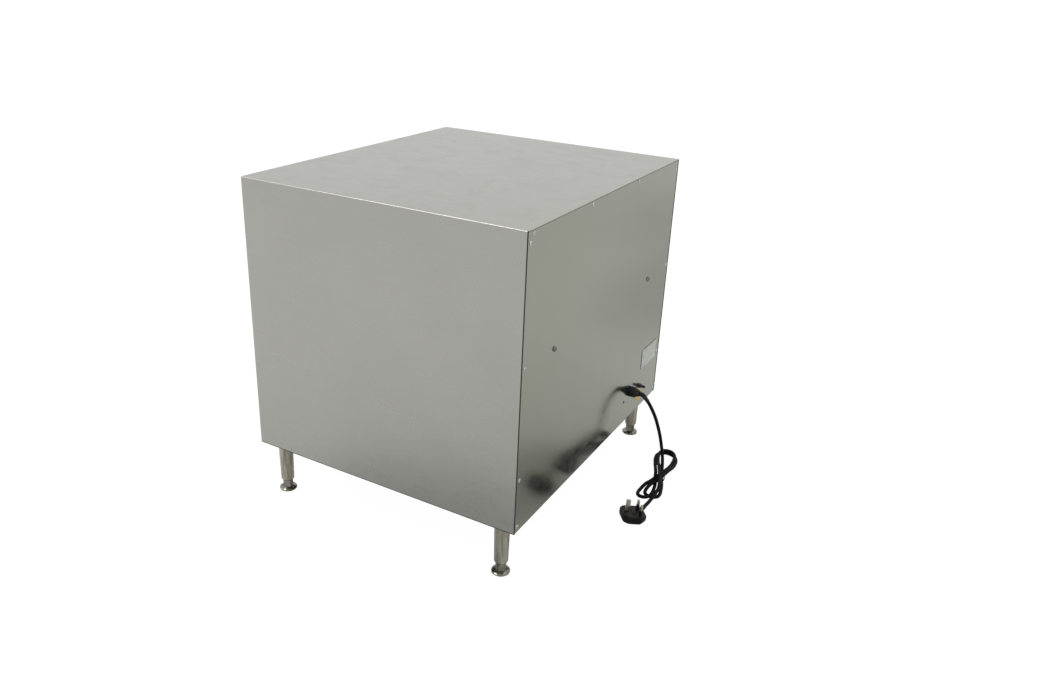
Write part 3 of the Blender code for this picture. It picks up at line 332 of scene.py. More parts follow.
finishes = {
    "steel": brushed("steel_cross_grain", STEEL, 0.32, "X"),
    "door_aluminium": brushed("door_aluminium_satin", (0.56, 0.57, 0.58), 0.34, "X", relief=0.16),
    "rear_steel": brushed(
        "rear_steel_smooth",
        REAR_STEEL,
        0.15,
        "X",
        contrast=0.008,
        cloud=0.02,
        relief=0.015,
        smudge=0.03,
        edge_reflection=EDGE_REFLECTION_DARK,
    ),
    "liner": brushed("liner_bright", (0.60, 0.60, 0.58), 0.16, "X", contrast=0.02, relief=0.04),
    "shelf_wire": plated("shelf_wire_plated", (0.66, 0.66, 0.66), (0.42, 0.42, 0.41), 0.16, "Y"),
    "handle_steel": brushed("handle_satin", (0.58, 0.58, 0.56), 0.24, "X", contrast=0.05),
    "hinge_steel": brushed("hinge_satin", (0.55, 0.55, 0.53), 0.28, "Z", contrast=0.05),
    "leg_metal": plated("leg_nickel", shade(NICKEL, 0.88), (0.21, 0.19, 0.14), 0.20),
    "black_plastic": moulded("black_nylon", BLACK, 0.40, gloss=0.28),
    "grey_plastic": moulded("grey_moulding", (0.42, 0.42, 0.41), 0.48, wear=0.12),
    "white_plastic": moulded("white_thermoset", (0.74, 0.74, 0.71), 0.38, wear=0.05),
    "rocker_red": moulded("rocker_red_gloss", (0.50, 0.025, 0.016), 0.28, relief=0.08, wear=0.15),
    "lens": moulded(
        "lens_red", (0.55, 0.04, 0.02), 0.14, relief=0.06, wear=0.2, Transmission_Weight=0.35, IOR=1.49
    ),
    "dark_metal": plated("blackened_steel", (0.10, 0.10, 0.105), (0.02, 0.02, 0.021), 0.34),
    "ballast_case": moulded("ballast_enamel", (0.70, 0.70, 0.68), 0.35, relief=0.12, wear=0.06),
    "label": film("label_film", (0.52, 0.54, 0.51), (0.34, 0.35, 0.32), 0.30),
    "tinted_pane": glazing("pane_tinted", (0.16, 0.26, 0.46), 0.03, 0.90, 1.49),
    "uv_glass": glazing("tube_glass", (0.80, 0.86, 0.94), 0.10, 0.55, 1.46),
    "gasket": moulded("gasket_rubber", (0.016, 0.016, 0.016), 0.62),
    "cord": moulded("cord_rubber", (0.003, 0.003, 0.0034), 0.55, grain=900.0, relief=0.20, gloss=0.11),
    "plug": moulded("plug_moulding", (0.005, 0.005, 0.0055), 0.40, relief=0.18, gloss=0.17),
    "pin_brass": plated("pin_nickelled", (0.62, 0.58, 0.46), (0.34, 0.30, 0.20), 0.22),
}
wrap_steel = brushed("steel_wrap", STEEL, 0.30, "Y", contrast=0.010, cloud=0.02, relief=0.025, edge_reflection=EDGE_REFLECTION_DARK)
foot_steel = plated("foot_nickel", shade(NICKEL, 0.62), (0.035, 0.032, 0.026), 0.13)
# Plated steel for the recessed rear fixings, made darker as painted shade inside their holes
fixing_steel_painted_shade = plated("fixing_plated_painted_shade", (0.30, 0.30, 0.28), (0.10, 0.10, 0.09), 0.30)
screw_steel = plated("screw_zinc", (0.74, 0.74, 0.72), (0.46, 0.46, 0.44), 0.24)
printed_black = moulded("printed_black", (0.014, 0.014, 0.014), 0.50)
printed_white = moulded("printed_white", (0.72, 0.72, 0.70), 0.45, wear=0.05)
amber_film = film("amber_film", (0.78, 0.42, 0.03), (0.68, 0.34, 0.02), 0.42)
red_oxide = moulded("red_oxide_fixing", (0.13, 0.045, 0.045), 0.45)
cap_metal = plated("tube_cap_aluminium", (0.66, 0.66, 0.65), (0.46, 0.46, 0.45), 0.28, "X")


# ---------------------------------------------------------------- mesh tools


def soften_edges(obj):
    """Small rounded edges and even shading, left as modifiers over an unchanged mesh."""
    weld = obj.modifiers.new("weld", "WELD")
    weld.merge_threshold = WELD_DISTANCE
    bevel = obj.modifiers.new("edges", "BEVEL")
    bevel.width = EDGE_WIDTH
    bevel.segments = 2
    bevel.limit_method = "ANGLE"
    bevel.angle_limit = EDGE_ANGLE
    bevel.use_clamp_overlap = True
    normals = obj.modifiers.new("normals", "WEIGHTED_NORMAL")
    normals.keep_sharp = False
    normals.weight = 80


def smooth_faces(obj, angle):
    """Smooth shading inside each surface and a crisp line where two meet at more than an angle in degrees."""
    weld = obj.modifiers.new("weld", "WELD")
    weld.merge_threshold = WELD_DISTANCE
    split = obj.modifiers.new("crisp", "EDGE_SPLIT")
    split.split_angle = math.radians(angle)


def plain_shading(mesh):
    for attribute in ("custom_normal", "sharp_edge", "sharp_face"):
        if attribute in mesh.attributes:
            mesh.attributes.remove(mesh.attributes[attribute])
    mesh.shade_smooth()


def to_mesh(name, shape):
    bmesh.ops.recalc_face_normals(shape, faces=shape.faces)
    mesh = bpy.data.meshes.new(name)
    shape.to_mesh(mesh)
    shape.free()
    return mesh


def turned(name, profile, steps=32):
    """A solid of revolution about +Z from (radius, height) points; a zero radius closes an end."""
    shape = bmesh.new()
    rings = []
    for radius, height in profile:
        if radius < 1e-7:
            rings.append([shape.verts.new((0.0, 0.0, height))])
            continue
        angles = [2 * math.pi * i / steps for i in range(steps)]
        rings.append([shape.verts.new((radius * math.cos(a), radius * math.sin(a), height)) for a in angles])
    for lower, upper in zip(rings, rings[1:]):
        for i in range(steps):
            j = (i + 1) % steps
            corners = [lower[i % len(lower)], lower[j % len(lower)]]
            corners += [upper[j % len(upper)], upper[i % len(upper)]]
            corners = list(dict.fromkeys(corners))
            if len(corners) > 2:
                shape.faces.new(corners)
    return to_mesh(name, shape)


def block(name, low, high, edge=0.0):
    """A box between two corners with rounded edges."""
    shape = bmesh.new()
    bmesh.ops.create_cube(shape, size=1.0)
    middle = (Vector(low) + Vector(high)) / 2
    span = Vector(high) - Vector(low)
    bmesh.ops.scale(shape, vec=span, verts=shape.verts)
    bmesh.ops.translate(shape, vec=middle, verts=shape.verts)
    if edge:
        bmesh.ops.bevel(shape, geom=shape.edges[:], offset=edge, segments=3, profile=0.5, affect="EDGES")
    return to_mesh(name, shape)


def swept(name, points, radii, sides=20, flatten=1.0, closed=False):
    """A tube through points with its own radius at each, capped, or joined to itself where it is closed."""
    points = [Vector(p) for p in points]
    count = len(points)
    shape = bmesh.new()
    rings = []
    side = None
    for i, point in enumerate(points):
        ahead = points[(i + 1) % count] if closed else points[min(i + 1, count - 1)]
        behind = points[i - 1] if closed else points[max(i - 1, 0)]
        run = (ahead - behind).normalized()
        if side is None:
            upright = abs(run.z) > 0.9
            side = (run.orthogonal() if upright else run.cross(Vector((0, 0, 1)))).normalized()
        side = (side - run * side.dot(run)).normalized()
        up = run.cross(side)
        ring = []
        for k in range(sides):
            angle = 2 * math.pi * k / sides
            offset = side * math.cos(angle) + up * math.sin(angle) * flatten
            ring.append(shape.verts.new(point + offset * radii[i]))
        rings.append(ring)
    pairs = list(zip(rings, rings[1:]))
    if closed:
        pairs.append((rings[-1], rings[0]))
    else:
        shape.faces.new(rings[0])
        shape.faces.new(reversed(rings[-1]))
    for lower, upper in pairs:
        for k in range(sides):
            j = (k + 1) % sides
            shape.faces.new((lower[k], lower[j], upper[j], upper[k]))
    return to_mesh(name, shape)


def merged(name, copies):
    """One mesh from (mesh, matrix) pairs."""
    shape = bmesh.new()
    for mesh, place in copies:
        before = len(shape.verts)
        shape.from_mesh(mesh)
        shape.verts.ensure_lookup_table()
        bmesh.ops.transform(shape, matrix=place, verts=shape.verts[before:])
    return to_mesh(name, shape)


def piece(name, mesh, material, body, place=None, crisp=32.0):
    """Shows a mesh as a named piece that rides on a body."""
    obj = bpy.data.objects.new(name, mesh)
    bpy.context.scene.collection.objects.link(obj)
    if place is not None:
        obj.matrix_world = place
    mesh.materials.append(material)
    mesh.shade_smooth()
    if crisp:
        smooth_faces(obj, crisp)
    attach(obj, body)
    return obj


def facing(direction, at):
    """A matrix that turns +Z to a direction and moves to a place."""
    return Matrix.Translation(Vector(at)) @ Vector(direction).to_track_quat("Z", "Y").to_matrix().to_4x4()


def cross_head(name, radius, height):
    """A pan head with a cross recess, base on z = 0."""
    head = turned(
        name,
        (
            (0.0, 0.0),
            (radius, 0.0),
            (radius, height * 0.35),
            (radius * 0.93, height * 0.68),
            (radius * 0.72, height * 0.92),
            (radius * 0.38, height),
            (0.0, height),
        ),
        steps=36,
    )
    solid = bpy.data.objects.new(name, head)
    bpy.context.scene.collection.objects.link(solid)
    reach, width, deep = radius * 0.56, radius * 0.13, height * 0.45
    arms = (((-reach, -width, deep), (reach, width, 1.0)), ((-width, -reach, deep), (width, reach, 1.0)))
    for low, high in arms:
        cutter = bpy.data.objects.new("cutter", block("cutter", low, high))
        bpy.context.scene.collection.objects.link(cutter)
        cutting = solid.modifiers.new("recess", "BOOLEAN")
        cutting.operation = "DIFFERENCE"
        cutting.solver = "EXACT"
        cutting.object = cutter
        bpy.context.view_layer.update()
        cut = bpy.data.meshes.new_from_object(solid.evaluated_get(bpy.context.evaluated_depsgraph_get()))
        solid.modifiers.clear()
        solid.data = cut
        bpy.data.objects.remove(cutter, do_unlink=True)
    made = solid.data
    bpy.data.objects.remove(solid, do_unlink=True)
    return made


def spline_points(route, per_span):
    """Points on the smooth Catmull-Rom curve through a route."""
    knots = [Vector(p) for p in route]
    knots = [2 * knots[0] - knots[1], *knots, 2 * knots[-1] - knots[-2]]
    points = []
    for before, start, end, after in zip(knots, knots[1:], knots[2:], knots[3:]):
        for step in range(per_span):
            t = step / per_span
            swing = (2 * before - 5 * start + 4 * end - after) * t**2
            turn = (3 * start - before - 3 * end + after) * t**3
            points.append(0.5 * (2 * start + (end - before) * t + swing + turn))
    points.append(knots[-2])
    return points


def path_length(points):
    return sum((b - a).length for a, b in zip(points, points[1:]))


def first_part(points, length):
    """The first stretch of a path, cut to a length."""
    kept = [points[0]]
    run = 0.0
    for a, b in zip(points, points[1:]):
        step = (b - a).length
        if run + step >= length:
            kept.append(a.lerp(b, (length - run) / step))
            return kept
        kept.append(b)
        run += step
    return kept


def evenly(points, count):
    """The same path through equally spaced points."""
    total = path_length(points)
    spaced = [points[0]]
    run, target = 0.0, total / count
    for a, b in zip(points, points[1:]):
        step = (b - a).length
        while step > 0 and run + step >= target - 1e-9 and len(spaced) <= count:
            spaced.append(a.lerp(b, min((target - run) / step, 1.0)))
            target += total / count
        run += step
    return spaced[: count + 1]


# ---------------------------------------------------------------- camera

CAMERA_PLACE = (1.329, 0.8153, 0.931)
CAMERA_SIGHT = Vector((-0.80929, -0.44991, -0.37767))
CAMERA_UP = Vector((-0.31189, -0.21571, 0.92531))
LENS_MM = 30.205
LENS_SHIFT = (0.02088, -0.02613)

camera_data = bpy.data.cameras.new("camera")
camera_data.sensor_width = 36.0
camera_data.lens = LENS_MM
camera_data.shift_x, camera_data.shift_y = LENS_SHIFT
camera_data.clip_start = 0.05
camera_data.clip_end = 50.0
camera = bpy.data.objects.new("camera", camera_data)
bpy.context.scene.collection.objects.link(camera)
sight = CAMERA_SIGHT.normalized()
rightward = sight.cross(CAMERA_UP).normalized()
upward = rightward.cross(sight).normalized()
camera.matrix_world = Matrix(
    (
        (rightward.x, upward.x, -sight.x, CAMERA_PLACE[0]),
        (rightward.y, upward.y, -sight.y, CAMERA_PLACE[1]),
        (rightward.z, upward.z, -sight.z, CAMERA_PLACE[2]),
        (0.0, 0.0, 0.0, 1.0),
    )
)
bpy.context.scene.camera = camera
bpy.context.scene.view_settings.view_transform = "Standard"


# ---------------------------------------------------------------- mains lead

# The strands cross within CROSSING_FROM of the waist, and a raised strand is down again CROSSING_RUN further.
CROSSING_FROM = 0.030
CROSSING_RUN = 0.034
BEND_RUN = 0.06


def ease(t):
    """From 0 to 1 with a level start and end."""
    t = min(max(t, 0.0), 1.0)
    return t * t * (3 - 2 * t)


def on_floor(s, w):
    """A place beside the hank's waist: s along the hank and w across it."""
    turn = HANK_BEND * ease(0.5 - s / BEND_RUN)
    c, n = math.cos(turn), math.sin(turn)
    return HANK_WAIST.x + s * c - w * n, HANK_WAIST.y + s * n + w * c


def loop(sign, length, half, fat, shift, rise, skew=0.0, base=0.0, first=1, last=12):
    """One loop of the hank, out from the waist and back.

    Half is half its width and fat pushes the widest place outwards. Shift moves its start and its end across
    the waist, and skew moves its far end. Rise gives how many strands it crosses going out and coming in, and
    base how many radii its far end lies above the floor.
    """
    steps = 12
    points = []
    for i in range(first, last):
        turn = 2 * math.pi * i / steps
        s = sign * length * math.sin(turn / 2)
        w = half * math.sin(turn) * (1 - fat * math.cos(turn)) + skew * math.sin(turn / 2) ** 2
        w += shift[0] + (shift[1] - shift[0]) * ease(i / steps)
        over = rise[0] if i < steps / 2 else rise[1]
        crossing = 1 - ease((abs(s) - CROSSING_FROM) / CROSSING_RUN)
        lift = base * ease((abs(s) - CROSSING_FROM) / (length - CROSSING_FROM)) + 2 * over * crossing
        points.append((*on_floor(s, w), CORD_RADIUS * (1 + lift) + CLEARANCE))
    return points


hank = loop(1, 0.066, 0.0135, 0.25, (0.0062, 0.0062), (0, 1))
hank += loop(-1, 0.107, 0.0168, 0.25, (0.0056, -0.0060), (1, 0), skew=-0.0065)
hank += loop(1, 0.075, 0.0130, 0.18, (-0.0062, -0.0024), (0, 1), skew=-0.0035)
hank += loop(-1, 0.106, 0.0155, 0.26, (0.0000, -0.0008), (1, 2), skew=-0.0048, base=2)
hank += loop(1, 0.066, 0.0140, 0.20, (0.0010, 0.0030), (2, 1), base=2, last=5)
cord_path = spline_points([*LEAD_ROUTE, *hank, *TAIL_ROUTE], 8)

cord_curve = bpy.data.curves.new("mains_cord", "CURVE")
cord_curve.dimensions = "3D"
cord_curve.bevel_depth = CORD_RADIUS
cord_curve.bevel_resolution = 4
cord_curve.use_fill_caps = True
cord_line = cord_curve.splines.new("POLY")
cord_line.points.add(len(cord_path) - 1)
for point, place in zip(cord_line.points, cord_path):
    point.co = (*place, 1.0)
cord_line.use_smooth = True
cord_curve.materials.append(finishes["cord"])
mains_cord = bpy.data.objects.new("mains_cord", cord_curve)
bpy.context.scene.collection.objects.link(mains_cord)
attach(mains_cord, "cabinet")
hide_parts("cord_lead", "cord_hank", "cord_tail")


def relief(name, path, length, root, slot_name):
    """A ribbed, tapering sleeve round the first stretch of a path."""
    steps = 48
    ribs = 6
    stretch = evenly(first_part(path, length), steps)
    radii = []
    for i in range(len(stretch)):
        share = i / steps
        radius = root + (CORD_RADIUS + 0.0005 - root) * share
        grooved = 0.08 < share < 0.93 and math.sin(2 * math.pi * ribs * share) < -0.2
        radii.append(radius - (0.0006 if grooved else 0.0))
    sleeve = swept(name, stretch, radii, sides=24)
    return piece(name, sleeve, finishes[slot_name], "cabinet", crisp=0)


gland_relief = relief("gland_relief", cord_path, 0.021, 0.0049, "black_plastic")
plug_relief = relief("plug_relief", cord_path[::-1], 0.024, 0.0052, "plug")

# The tie is a flat strap pulled round the strands at the waist.
TIE_HALF = (0.0100, 0.0098)
TIE_CENTRE = 0.0104
TIE_LOWEST = 0.0011
TIE_LEAN = math.radians(4.0)
TIE_STEPS = 40
TIE_SQUARENESS = 0.8
tie_path = []
for i in range(TIE_STEPS):
    turn = 2 * math.pi * i / TIE_STEPS
    across = TIE_HALF[0] * math.copysign(abs(math.cos(turn)) ** TIE_SQUARENESS, math.cos(turn))
    height = TIE_CENTRE + TIE_HALF[1] * math.copysign(abs(math.sin(turn)) ** TIE_SQUARENESS, math.sin(turn))
    x = HANK_WAIST.x - across * math.sin(TIE_LEAN)
    y = HANK_WAIST.y + across * math.cos(TIE_LEAN)
    tie_path.append((x, y, max(height, TIE_LOWEST)))
cord_tie = piece(
    "cord_tie",
    swept("cord_tie", tie_path, [0.0020] * len(tie_path), sides=12, flatten=0.35, closed=True),
    finishes["black_plastic"],
    "cabinet",
    crisp=0,
)

# Details of the plug, in its own axes: +X towards the lead and +Z along the pins.
plug_turn = Matrix.Rotation(PLUG_HEADING, 4, "Z") @ Matrix.Rotation(PLUG_LEAN, 4, Vector((-1.0, 1.0, 0.0)))
plug_place = Matrix.Translation(PLUG_CENTRE) @ plug_turn


def on_plug(name, parts):
    """A piece made of meshes that stand in the plug's own axes."""
    mesh = merged(name, [(part, Matrix()) for part in parts])
    return piece(name, mesh, finishes["plug"], "cabinet", plug_place)


carrier_low, carrier_high = (-0.0036, -0.0120, PLUG_THICK - 0.001), (0.0040, 0.0120, PLUG_THICK + 0.0006)
pry_low, pry_high = (-0.0010, 0.0085, PLUG_THICK), (0.0014, 0.0105, PLUG_THICK + 0.0009)
fuse_carrier = on_plug(
    "plug_fuse_carrier",
    [block("carrier", carrier_low, carrier_high, 0.0003), block("pry_slot", pry_low, pry_high, 0.0002)],
)
collars = []
for across in (-PIN_ROW, PIN_ROW):
    low = (PIN_ROW - 0.0023, across - 0.0035, PLUG_THICK - 0.0005)
    high = (PIN_ROW + 0.0023, across + 0.0035, PLUG_THICK + 0.0090)
    collars.append(block("collar", low, high, 0.0005))
pin_sleeves = on_plug("plug_pin_sleeves", collars)
ribs = []
for side in (-1, 1):
    for i in range(5):
        x = -0.0052 + 0.0034 * i
        near, far = sorted((side * 0.0222, side * 0.0233))
        ribs.append(block("rib", (x - 0.0006, near, 0.0100), (x + 0.0006, far, 0.0167), 0.0003))
grip_ribs = on_plug("plug_grip_ribs", ribs)


# ---------------------------------------------------------------- rear fittings

# Twelve screws hold the service panel: four along its top, three down each side and one at each lower corner.
TOP_ROW_Z, LOW_ROW_Z = 0.588, 0.1106
SIDE_ROW_X = 0.2955
rear_head = cross_head("rear_head", 0.0033, 0.0016)
rear_places = [(x, TOP_ROW_Z) for x in (0.287, 0.089, -0.103, -0.290)]
rear_places += [(sign * SIDE_ROW_X, z) for sign in (1, -1) for z in (0.576, 0.384, 0.195)]
rear_places += [(sign * SIDE_ROW_X, LOW_ROW_Z) for sign in (1, -1)]
heads = []
for i, (x, z) in enumerate(rear_places):
    turn = Matrix.Rotation(math.radians(37.0 * i), 4, "Z")
    heads.append((rear_head, facing((0, 1, 0), (x, PANEL_OUT - SEAT, z)) @ turn))
piece("rear_screws", merged("rear_screws", heads), screw_steel, "cabinet")

oxide = turned(
    "red_fixing",
    ((0.0, 0.0), (0.0024, 0.0), (0.0024, 0.0006), (0.0017, 0.0011), (0.0008, 0.0012), (0.0, 0.0009)),
)
oxide_place = facing((0, 1, 0), (-0.130, PANEL_OUT - SEAT, 0.1465))
piece("red_fixing", oxide, red_oxide, "cabinet", oxide_place)

tag_low, tag_high = (-0.2225, PANEL_OUT - SEAT, 0.1190), (-0.1975, PANEL_OUT + 0.00025, 0.1440)
piece("amber_tag", block("amber_tag", tag_low, tag_high, 0.0001), amber_film, "cabinet")


# ---------------------------------------------------------------- door and front fittings

PANE_LIP = 0.004
MITRE_INSET = 0.002
frame_low = Vector((DOOR_LOW.x + DOOR_RAIL + PANE_LIP, 0, DOOR_LOW.z + DOOR_RAIL + PANE_LIP))
frame_high = Vector((DOOR_HIGH.x - DOOR_RAIL - PANE_LIP, 0, DOOR_HIGH.z - DOOR_RAIL - PANE_LIP))


def rounded_loop(low, high, radius, y, per_corner=6):
    """A rectangle with rounded corners in a plane of constant y."""
    points = []
    corners = ((high.x, high.z, 0.0), (low.x, high.z, 90.0), (low.x, low.z, 180.0), (high.x, low.z, 270.0))
    for x, z, start in corners:
        centre_x = x - math.copysign(radius, x - (low.x + high.x) / 2)
        centre_z = z - math.copysign(radius, z - (low.z + high.z) / 2)
        for i in range(per_corner + 1):
            angle = math.radians(start + 90.0 * i / per_corner)
            points.append((centre_x + radius * math.cos(angle), y, centre_z + radius * math.sin(angle)))
    return points


bead_path = rounded_loop(frame_low, frame_high, 0.0015, FRONT + 0.0034)
bead = swept("window_bead", bead_path, [0.0014] * len(bead_path), sides=12, closed=True)
piece("window_bead", bead, finishes["gasket"], "door", crisp=0)

mitres = []
for sx, sz in ((1, 1), (1, -1), (-1, 1), (-1, -1)):
    inner = Vector((frame_high.x if sx > 0 else frame_low.x, FRONT, frame_high.z if sz > 0 else frame_low.z))
    outer_x = DOOR_HIGH.x - MITRE_INSET if sx > 0 else DOOR_LOW.x + MITRE_INSET
    outer_z = DOOR_HIGH.z - MITRE_INSET if sz > 0 else DOOR_LOW.z + MITRE_INSET
    outer = Vector((outer_x, FRONT, outer_z))
    run = outer - inner
    strip = block("mitre", (-run.length / 2, -0.00004, -0.00016), (run.length / 2, 0.0002, 0.00016))
    turn = Matrix.Rotation(-math.atan2(run.z, run.x), 4, "Y")
    mitres.append((strip, Matrix.Translation((inner + outer) / 2) @ turn))
piece("door_mitre_lines", merged("door_mitre_lines", mitres), printed_black, "door")

rosette = turned(
    "rosette",
    (
        (0.0052, 0.0),
        (0.0092, 0.0),
        (0.0092, 0.0012),
        (0.0084, 0.0024),
        (0.0062, 0.0030),
        (0.0052, 0.0032),
        (0.0052, 0.0),
    ),
)
roses = [(rosette, facing((0, -1, 0), (HANDLE_X, FRONT, z))) for z in HANDLE_Z]
piece("handle_rosettes", merged("handle_rosettes", roses), finishes["handle_steel"], "door")

HINGE_HOLE_OUT = 0.0105
HINGE_HOLE_PITCH = 0.021
small_head = cross_head("small_head", 0.0026, 0.0009)
for body, x in (("cabinet", HINGE_X - HINGE_HOLE_OUT), ("door", HINGE_X + HINGE_HOLE_OUT)):
    heads = []
    for centre in HINGE_CENTRES:
        for i, rise in enumerate((-HINGE_HOLE_PITCH, 0.0, HINGE_HOLE_PITCH)):
            turn = Matrix.Rotation(math.radians(25.0 + 31.0 * i), 4, "Z")
            heads.append((small_head, facing((0, -1, 0), (x, HINGE_FACE + SEAT, centre + rise)) @ turn))
    name = f"hinge_screws_{body}"
    piece(name, merged(name, heads), screw_steel, body)

FASCIA_SCREW_X = 0.274
FASCIA_SCREW_IN = 0.012
fascia_head = cross_head("fascia_head", 0.0031, 0.0014)
fascia_rows = (FASCIA_LOW.z + FASCIA_SCREW_IN, FASCIA_HIGH.z - FASCIA_SCREW_IN)
heads = []
for i, (side, z) in enumerate((side, z) for side in (1, -1) for z in fascia_rows):
    turn = Matrix.Rotation(math.radians(43.0 * i), 4, "Z")
    heads.append((fascia_head, facing((0, -1, 0), (side * FASCIA_SCREW_X, FRONT + SEAT, z)) @ turn))
piece("fascia_screws", merged("fascia_screws", heads), screw_steel, "cabinet")

# Printed scale round the timer, clockwise from the top: a tick every 10 degrees and a figure every 50.
TICK_RADIUS = 0.0215
FIGURE_OUT = 0.0062
marks = []
for step in range(31):
    turn = math.radians(10.0 * step)
    long = step % 5 == 0
    tick_end = TICK_RADIUS + (0.0028 if long else 0.0016)
    tick = block("tick", (-0.0002, -0.00005, TICK_RADIUS), (0.0002, 0.0002, tick_end))
    marks.append((tick, Matrix.Translation((TIMER_X, FRONT, CONTROL_Z)) @ Matrix.Rotation(turn, 4, "Y")))
for step in range(7):
    turn = math.radians(50.0 * step)
    text = bpy.data.curves.new("figure", "FONT")
    text.body = str(step * 10)
    text.size = 0.0056
    text.extrude = 0.0001
    text.align_x = "CENTER"
    text.align_y = "CENTER"
    holder = bpy.data.objects.new("figure", text)
    bpy.context.scene.collection.objects.link(holder)
    bpy.context.view_layer.update()
    figure = bpy.data.meshes.new_from_object(holder.evaluated_get(bpy.context.evaluated_depsgraph_get()))
    bpy.data.objects.remove(holder, do_unlink=True)
    out = TICK_RADIUS + FIGURE_OUT
    at = (TIMER_X + out * math.sin(turn), FRONT - 0.00002, CONTROL_Z + out * math.cos(turn))
    marks.append((figure, Matrix.Translation(at) @ Matrix.Rotation(math.radians(90.0), 4, "X")))
piece("timer_scale", merged("timer_scale", marks), printed_black, "cabinet")

# The knob's fluted grip, a ring with a round lip at each end
FLUTES = 36
GRIP_STEPS = FLUTES * 6
shape = bmesh.new()
rings = []
for share, proud in ((0.08, -0.0012), (0.12, 0.0004), (0.62, 0.0004), (0.68, -0.0012)):
    y = KNOB_ROOT + (KNOB_FACE - KNOB_ROOT) * share
    radius = KNOB_BASE_RADIUS + (KNOB_END_RADIUS - KNOB_BASE_RADIUS) * share
    ring = []
    for i in range(GRIP_STEPS):
        turn = 2 * math.pi * i / GRIP_STEPS
        ripple = 0.0005 * math.cos(FLUTES * turn) if proud > 0 else 0.0
        reach = radius + proud + ripple
        x, z = TIMER_X + reach * math.sin(turn), CONTROL_Z + reach * math.cos(turn)
        ring.append(shape.verts.new((x, y, z)))
    rings.append(ring)
for lower, upper in zip(rings, [*rings[1:], rings[0]]):
    for i in range(GRIP_STEPS):
        j = (i + 1) % GRIP_STEPS
        shape.faces.new((lower[i], lower[j], upper[j], upper[i]))
grip = to_mesh("timer_knob_grip", shape)
piece("timer_knob_grip", grip, finishes["black_plastic"], "timer_knob", crisp=KNOB_CRISP)

pointer_low = (TIMER_X - 0.0006, KNOB_FACE - 0.00145, CONTROL_Z + 0.0030)
pointer_high = (TIMER_X + 0.0006, KNOB_FACE - 0.0010, CONTROL_Z + KNOB_BASE_RADIUS)
pointer = block("timer_pointer", pointer_low, pointer_high, 0.0001)
piece("timer_pointer", pointer, printed_white, "timer_knob")

# The marks on the rocker lie on its two faces, which lean with it.
rocker_place = Matrix(
    (
        (1.0, 0.0, 0.0, SWITCH_X),
        (0.0, math.cos(ROCKER_TILT), math.sin(ROCKER_TILT), ROCKER_AXLE_Y),
        (0.0, -math.sin(ROCKER_TILT), math.cos(ROCKER_TILT), CONTROL_Z),
        (0.0, 0.0, 0.0, 1.0),
    )
)
on_bar = block("on_bar", (-0.0004, -0.0062, 0.0042), (0.0004, -0.0057, 0.0076), 0.0001)
ring_turns = [2 * math.pi * i / 24 for i in range(24)]
ring_path = [(0.0014 * math.cos(turn), -0.0060, -0.0060 + 0.0018 * math.sin(turn)) for turn in ring_turns]
off_ring = swept("off_ring", ring_path, [0.0003] * len(ring_path), sides=8, closed=True)
rocker_marks = merged("rocker_marks", [(on_bar, Matrix()), (off_ring, Matrix())])
piece("rocker_marks", rocker_marks, printed_white, "rocker", rocker_place)


# ---------------------------------------------------------------- inside the chamber

cap = turned(
    "tube_cap",
    ((0.0131, 0.0), (0.0136, 0.0004), (0.0136, 0.0168), (0.0132, 0.0176), (0.0110, 0.0180), (0.0110, 0.0)),
)
caps = []
for sign in (1, -1):
    start = (sign * (TUBE_HALF - 0.0182), TUBE_Y, TUBE_Z)
    caps.append((cap, facing((sign, 0, 0), start)))
piece("tube_end_caps", merged("tube_end_caps", caps), cap_metal, "cabinet")


# ---------------------------------------------------------------- finishes on the solid model

for name, node in nodes.items():
    slot_name = node.data.materials[0].name.split(".")[0]
    surface = {"outer_wrap": wrap_steel}.get(name, finishes[slot_name])
    # The rear fixings take the darker plating that carries painted shade for their recesses
    if name.startswith("rear_fixing"):
        surface = fixing_steel_painted_shade
    if name.startswith("foot_"):
        surface = foot_steel
    for i in range(len(node.data.materials)):
        node.data.materials[i] = surface
    plain_shading(node.data)

ROUND_NODES = (
    "cable_gland",
    "indicator_lens",
    "timer_knob",
    "uv_tube",
    "lamp_starter",
    "interlock_plunger",
    "door_handle",
    "bonding_stud",
    "plug_body",
)
for name, node in nodes.items():
    if name.startswith(("leg_", "foot_", "shelf_", "rear_fixing", "hinge_")) or name in ROUND_NODES:
        smooth_faces(node, ROUND_CRISP)
    else:
        soften_edges(node)


# ---------------------------------------------------------------- stage

SKY_LOW, SKY_MIDDLE, SKY_HIGH = 0.86, 0.92, 1.0
BACKGROUND = 1.05
FLOOR_HALF = 14.0

scene = bpy.context.scene
world = bpy.data.worlds.new("studio")
scene.world = world
world.use_nodes = True
sky = world.node_tree
sky_out = sky.nodes["Background"]
sky_place = sky.nodes.new("ShaderNodeTexCoord").outputs["Generated"]
split = sky.nodes.new("ShaderNodeSeparateXYZ")
sky.links.new(sky_place, split.inputs[0])
ramp = sky.nodes.new("ShaderNodeValToRGB")
sky.links.new(split.outputs["Z"], ramp.inputs[0])
ramp.color_ramp.elements[0].position = 0.0
ramp.color_ramp.elements[0].color = (SKY_LOW, SKY_LOW, SKY_LOW, 1.0)
ramp.color_ramp.elements[1].position = 1.0
ramp.color_ramp.elements[1].color = (SKY_HIGH, SKY_HIGH, SKY_HIGH, 1.0)
middle = ramp.color_ramp.elements.new(0.38)
middle.color = (SKY_MIDDLE, SKY_MIDDLE, SKY_MIDDLE, 1.0)
lit = sky.nodes.new("ShaderNodeBackground")
lit.inputs["Strength"].default_value = 1.0
sky.links.new(ramp.outputs["Color"], lit.inputs["Color"])
sky_out.inputs["Color"].default_value = (1.0, 1.0, 1.0, 1.0)
sky_out.inputs["Strength"].default_value = BACKGROUND
path = sky.nodes.new("ShaderNodeLightPath")
